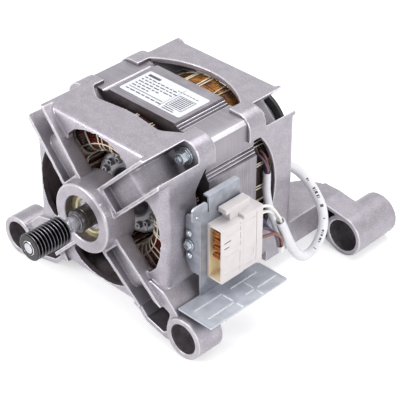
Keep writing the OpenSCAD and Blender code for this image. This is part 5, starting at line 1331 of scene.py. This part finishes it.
stackSettings = {
    "crest": 0.42, "long": 1, "still": 0.01, "sharp": 24, "flatAcross": 0.3, "endFace": 0.7,
    # distances from the shaft (out) and from the middle of a side (aside)
    "crestOut": 51.3, "crestAside": (28.6, 50.2), "troughs": ((29.4, 30.6), (31.2, 32.4)),
    "ground": (32.2, 50), "shade": (27.5, 32.2, 51), "bright": 45, "corner": 50.3,
    "highlightLines": ((28.8, 29.4, 60), (30.6, 31.2, 60), (32.5, 33.3, 52.7)),
}


def makeStack(s):
    stack = mergedCopy("stacked_laminations", "stator_core")

    def across(p):  # how far from the middle of its side of the stack, and from the shaft
        return min(abs(p.x), abs(p.z)), max(abs(p.x), abs(p.z))

    def isCrest(edge):
        a, b = (vert.co / mm for vert in edge.verts)
        aside, out = across(a)
        along = abs(a.y - b.y) > s["long"] and math.hypot(a.x - b.x, a.z - b.z) < s["still"]
        return (along and out > s["crestOut"] and s["crestAside"][0] < aside < s["crestAside"][1]
                and not any(low < aside < high for low, high in s["troughs"]))

    def isBright(aside, out):
        return out > s["bright"] and (aside > s["corner"] or any(
            low < aside < high and out < most for low, high, most in s["highlightLines"]))

    work = bmesh.new()
    work.from_mesh(stack.data)
    crests = [edge for edge in work.edges if isCrest(edge)]
    bmesh.ops.bevel(work, geom=crests, offset=s["crest"] * mm, segments=1, affect="EDGES")
    work.to_mesh(stack.data)
    work.free()
    print("stack crests:", len(crests))
    markSharp(stack.data, s["sharp"])
    stack.data.materials.append(finishes["laminationSteel"])
    (fromAside, fromOut), (shadeLow, shadeHigh, shadeOut) = s["ground"], s["shade"]
    # ground lands, painted shade in the groove troughs, painted highlight on the crests and cut corners
    for finish, chosen in (("groundLand", lambda aside, out: aside > fromAside and out > fromOut),
                           ("grooveShade", lambda aside, out: shadeLow < aside < shadeHigh and out > shadeOut),
                           ("crestHighlightSteel", isBright)):
        paintWhere(stack, finish, lambda p, n: abs(n.y) < s["flatAcross"] and chosen(*across(p)))
    # painted shade on the faces across the shaft
    paintWhere(stack, "shadedEndSheet", lambda p, n: abs(n.y) > s["endFace"])
    dress(stack, None, "stator", "lamination_steel", "stator_core")


makeStack(stackSettings)
print("stage: label, screws, cap and stack")


keptFinishes = {  # the CAD pieces that stay as they are, by their finish
    "windingVarnish": ("winding_core",), "rotorSteel": ("rotor_core",), "springSteel": ("wave_washer",),
    "magnetFerrite": ("tacho_magnet",), "coilFormer": ("tacho_coil",),
    "bearingSteel": [end + part for end in ("front", "rear") for part in
                     ("_bearing_outer", "_bearing_inner", "_bearing_balls")],
    "bearingBrass": ("front_bearing_cage", "rear_bearing_cage"),
}
for finish, pieces in keptFinishes.items():
    for piece in pieces:
        slots = nodes[piece].material_slots
        for slot in slots:
            slot.material = finishes[finish]
        if not slots:
            nodes[piece].data.materials.append(finishes[finish])
print("stage: carried-over pieces")
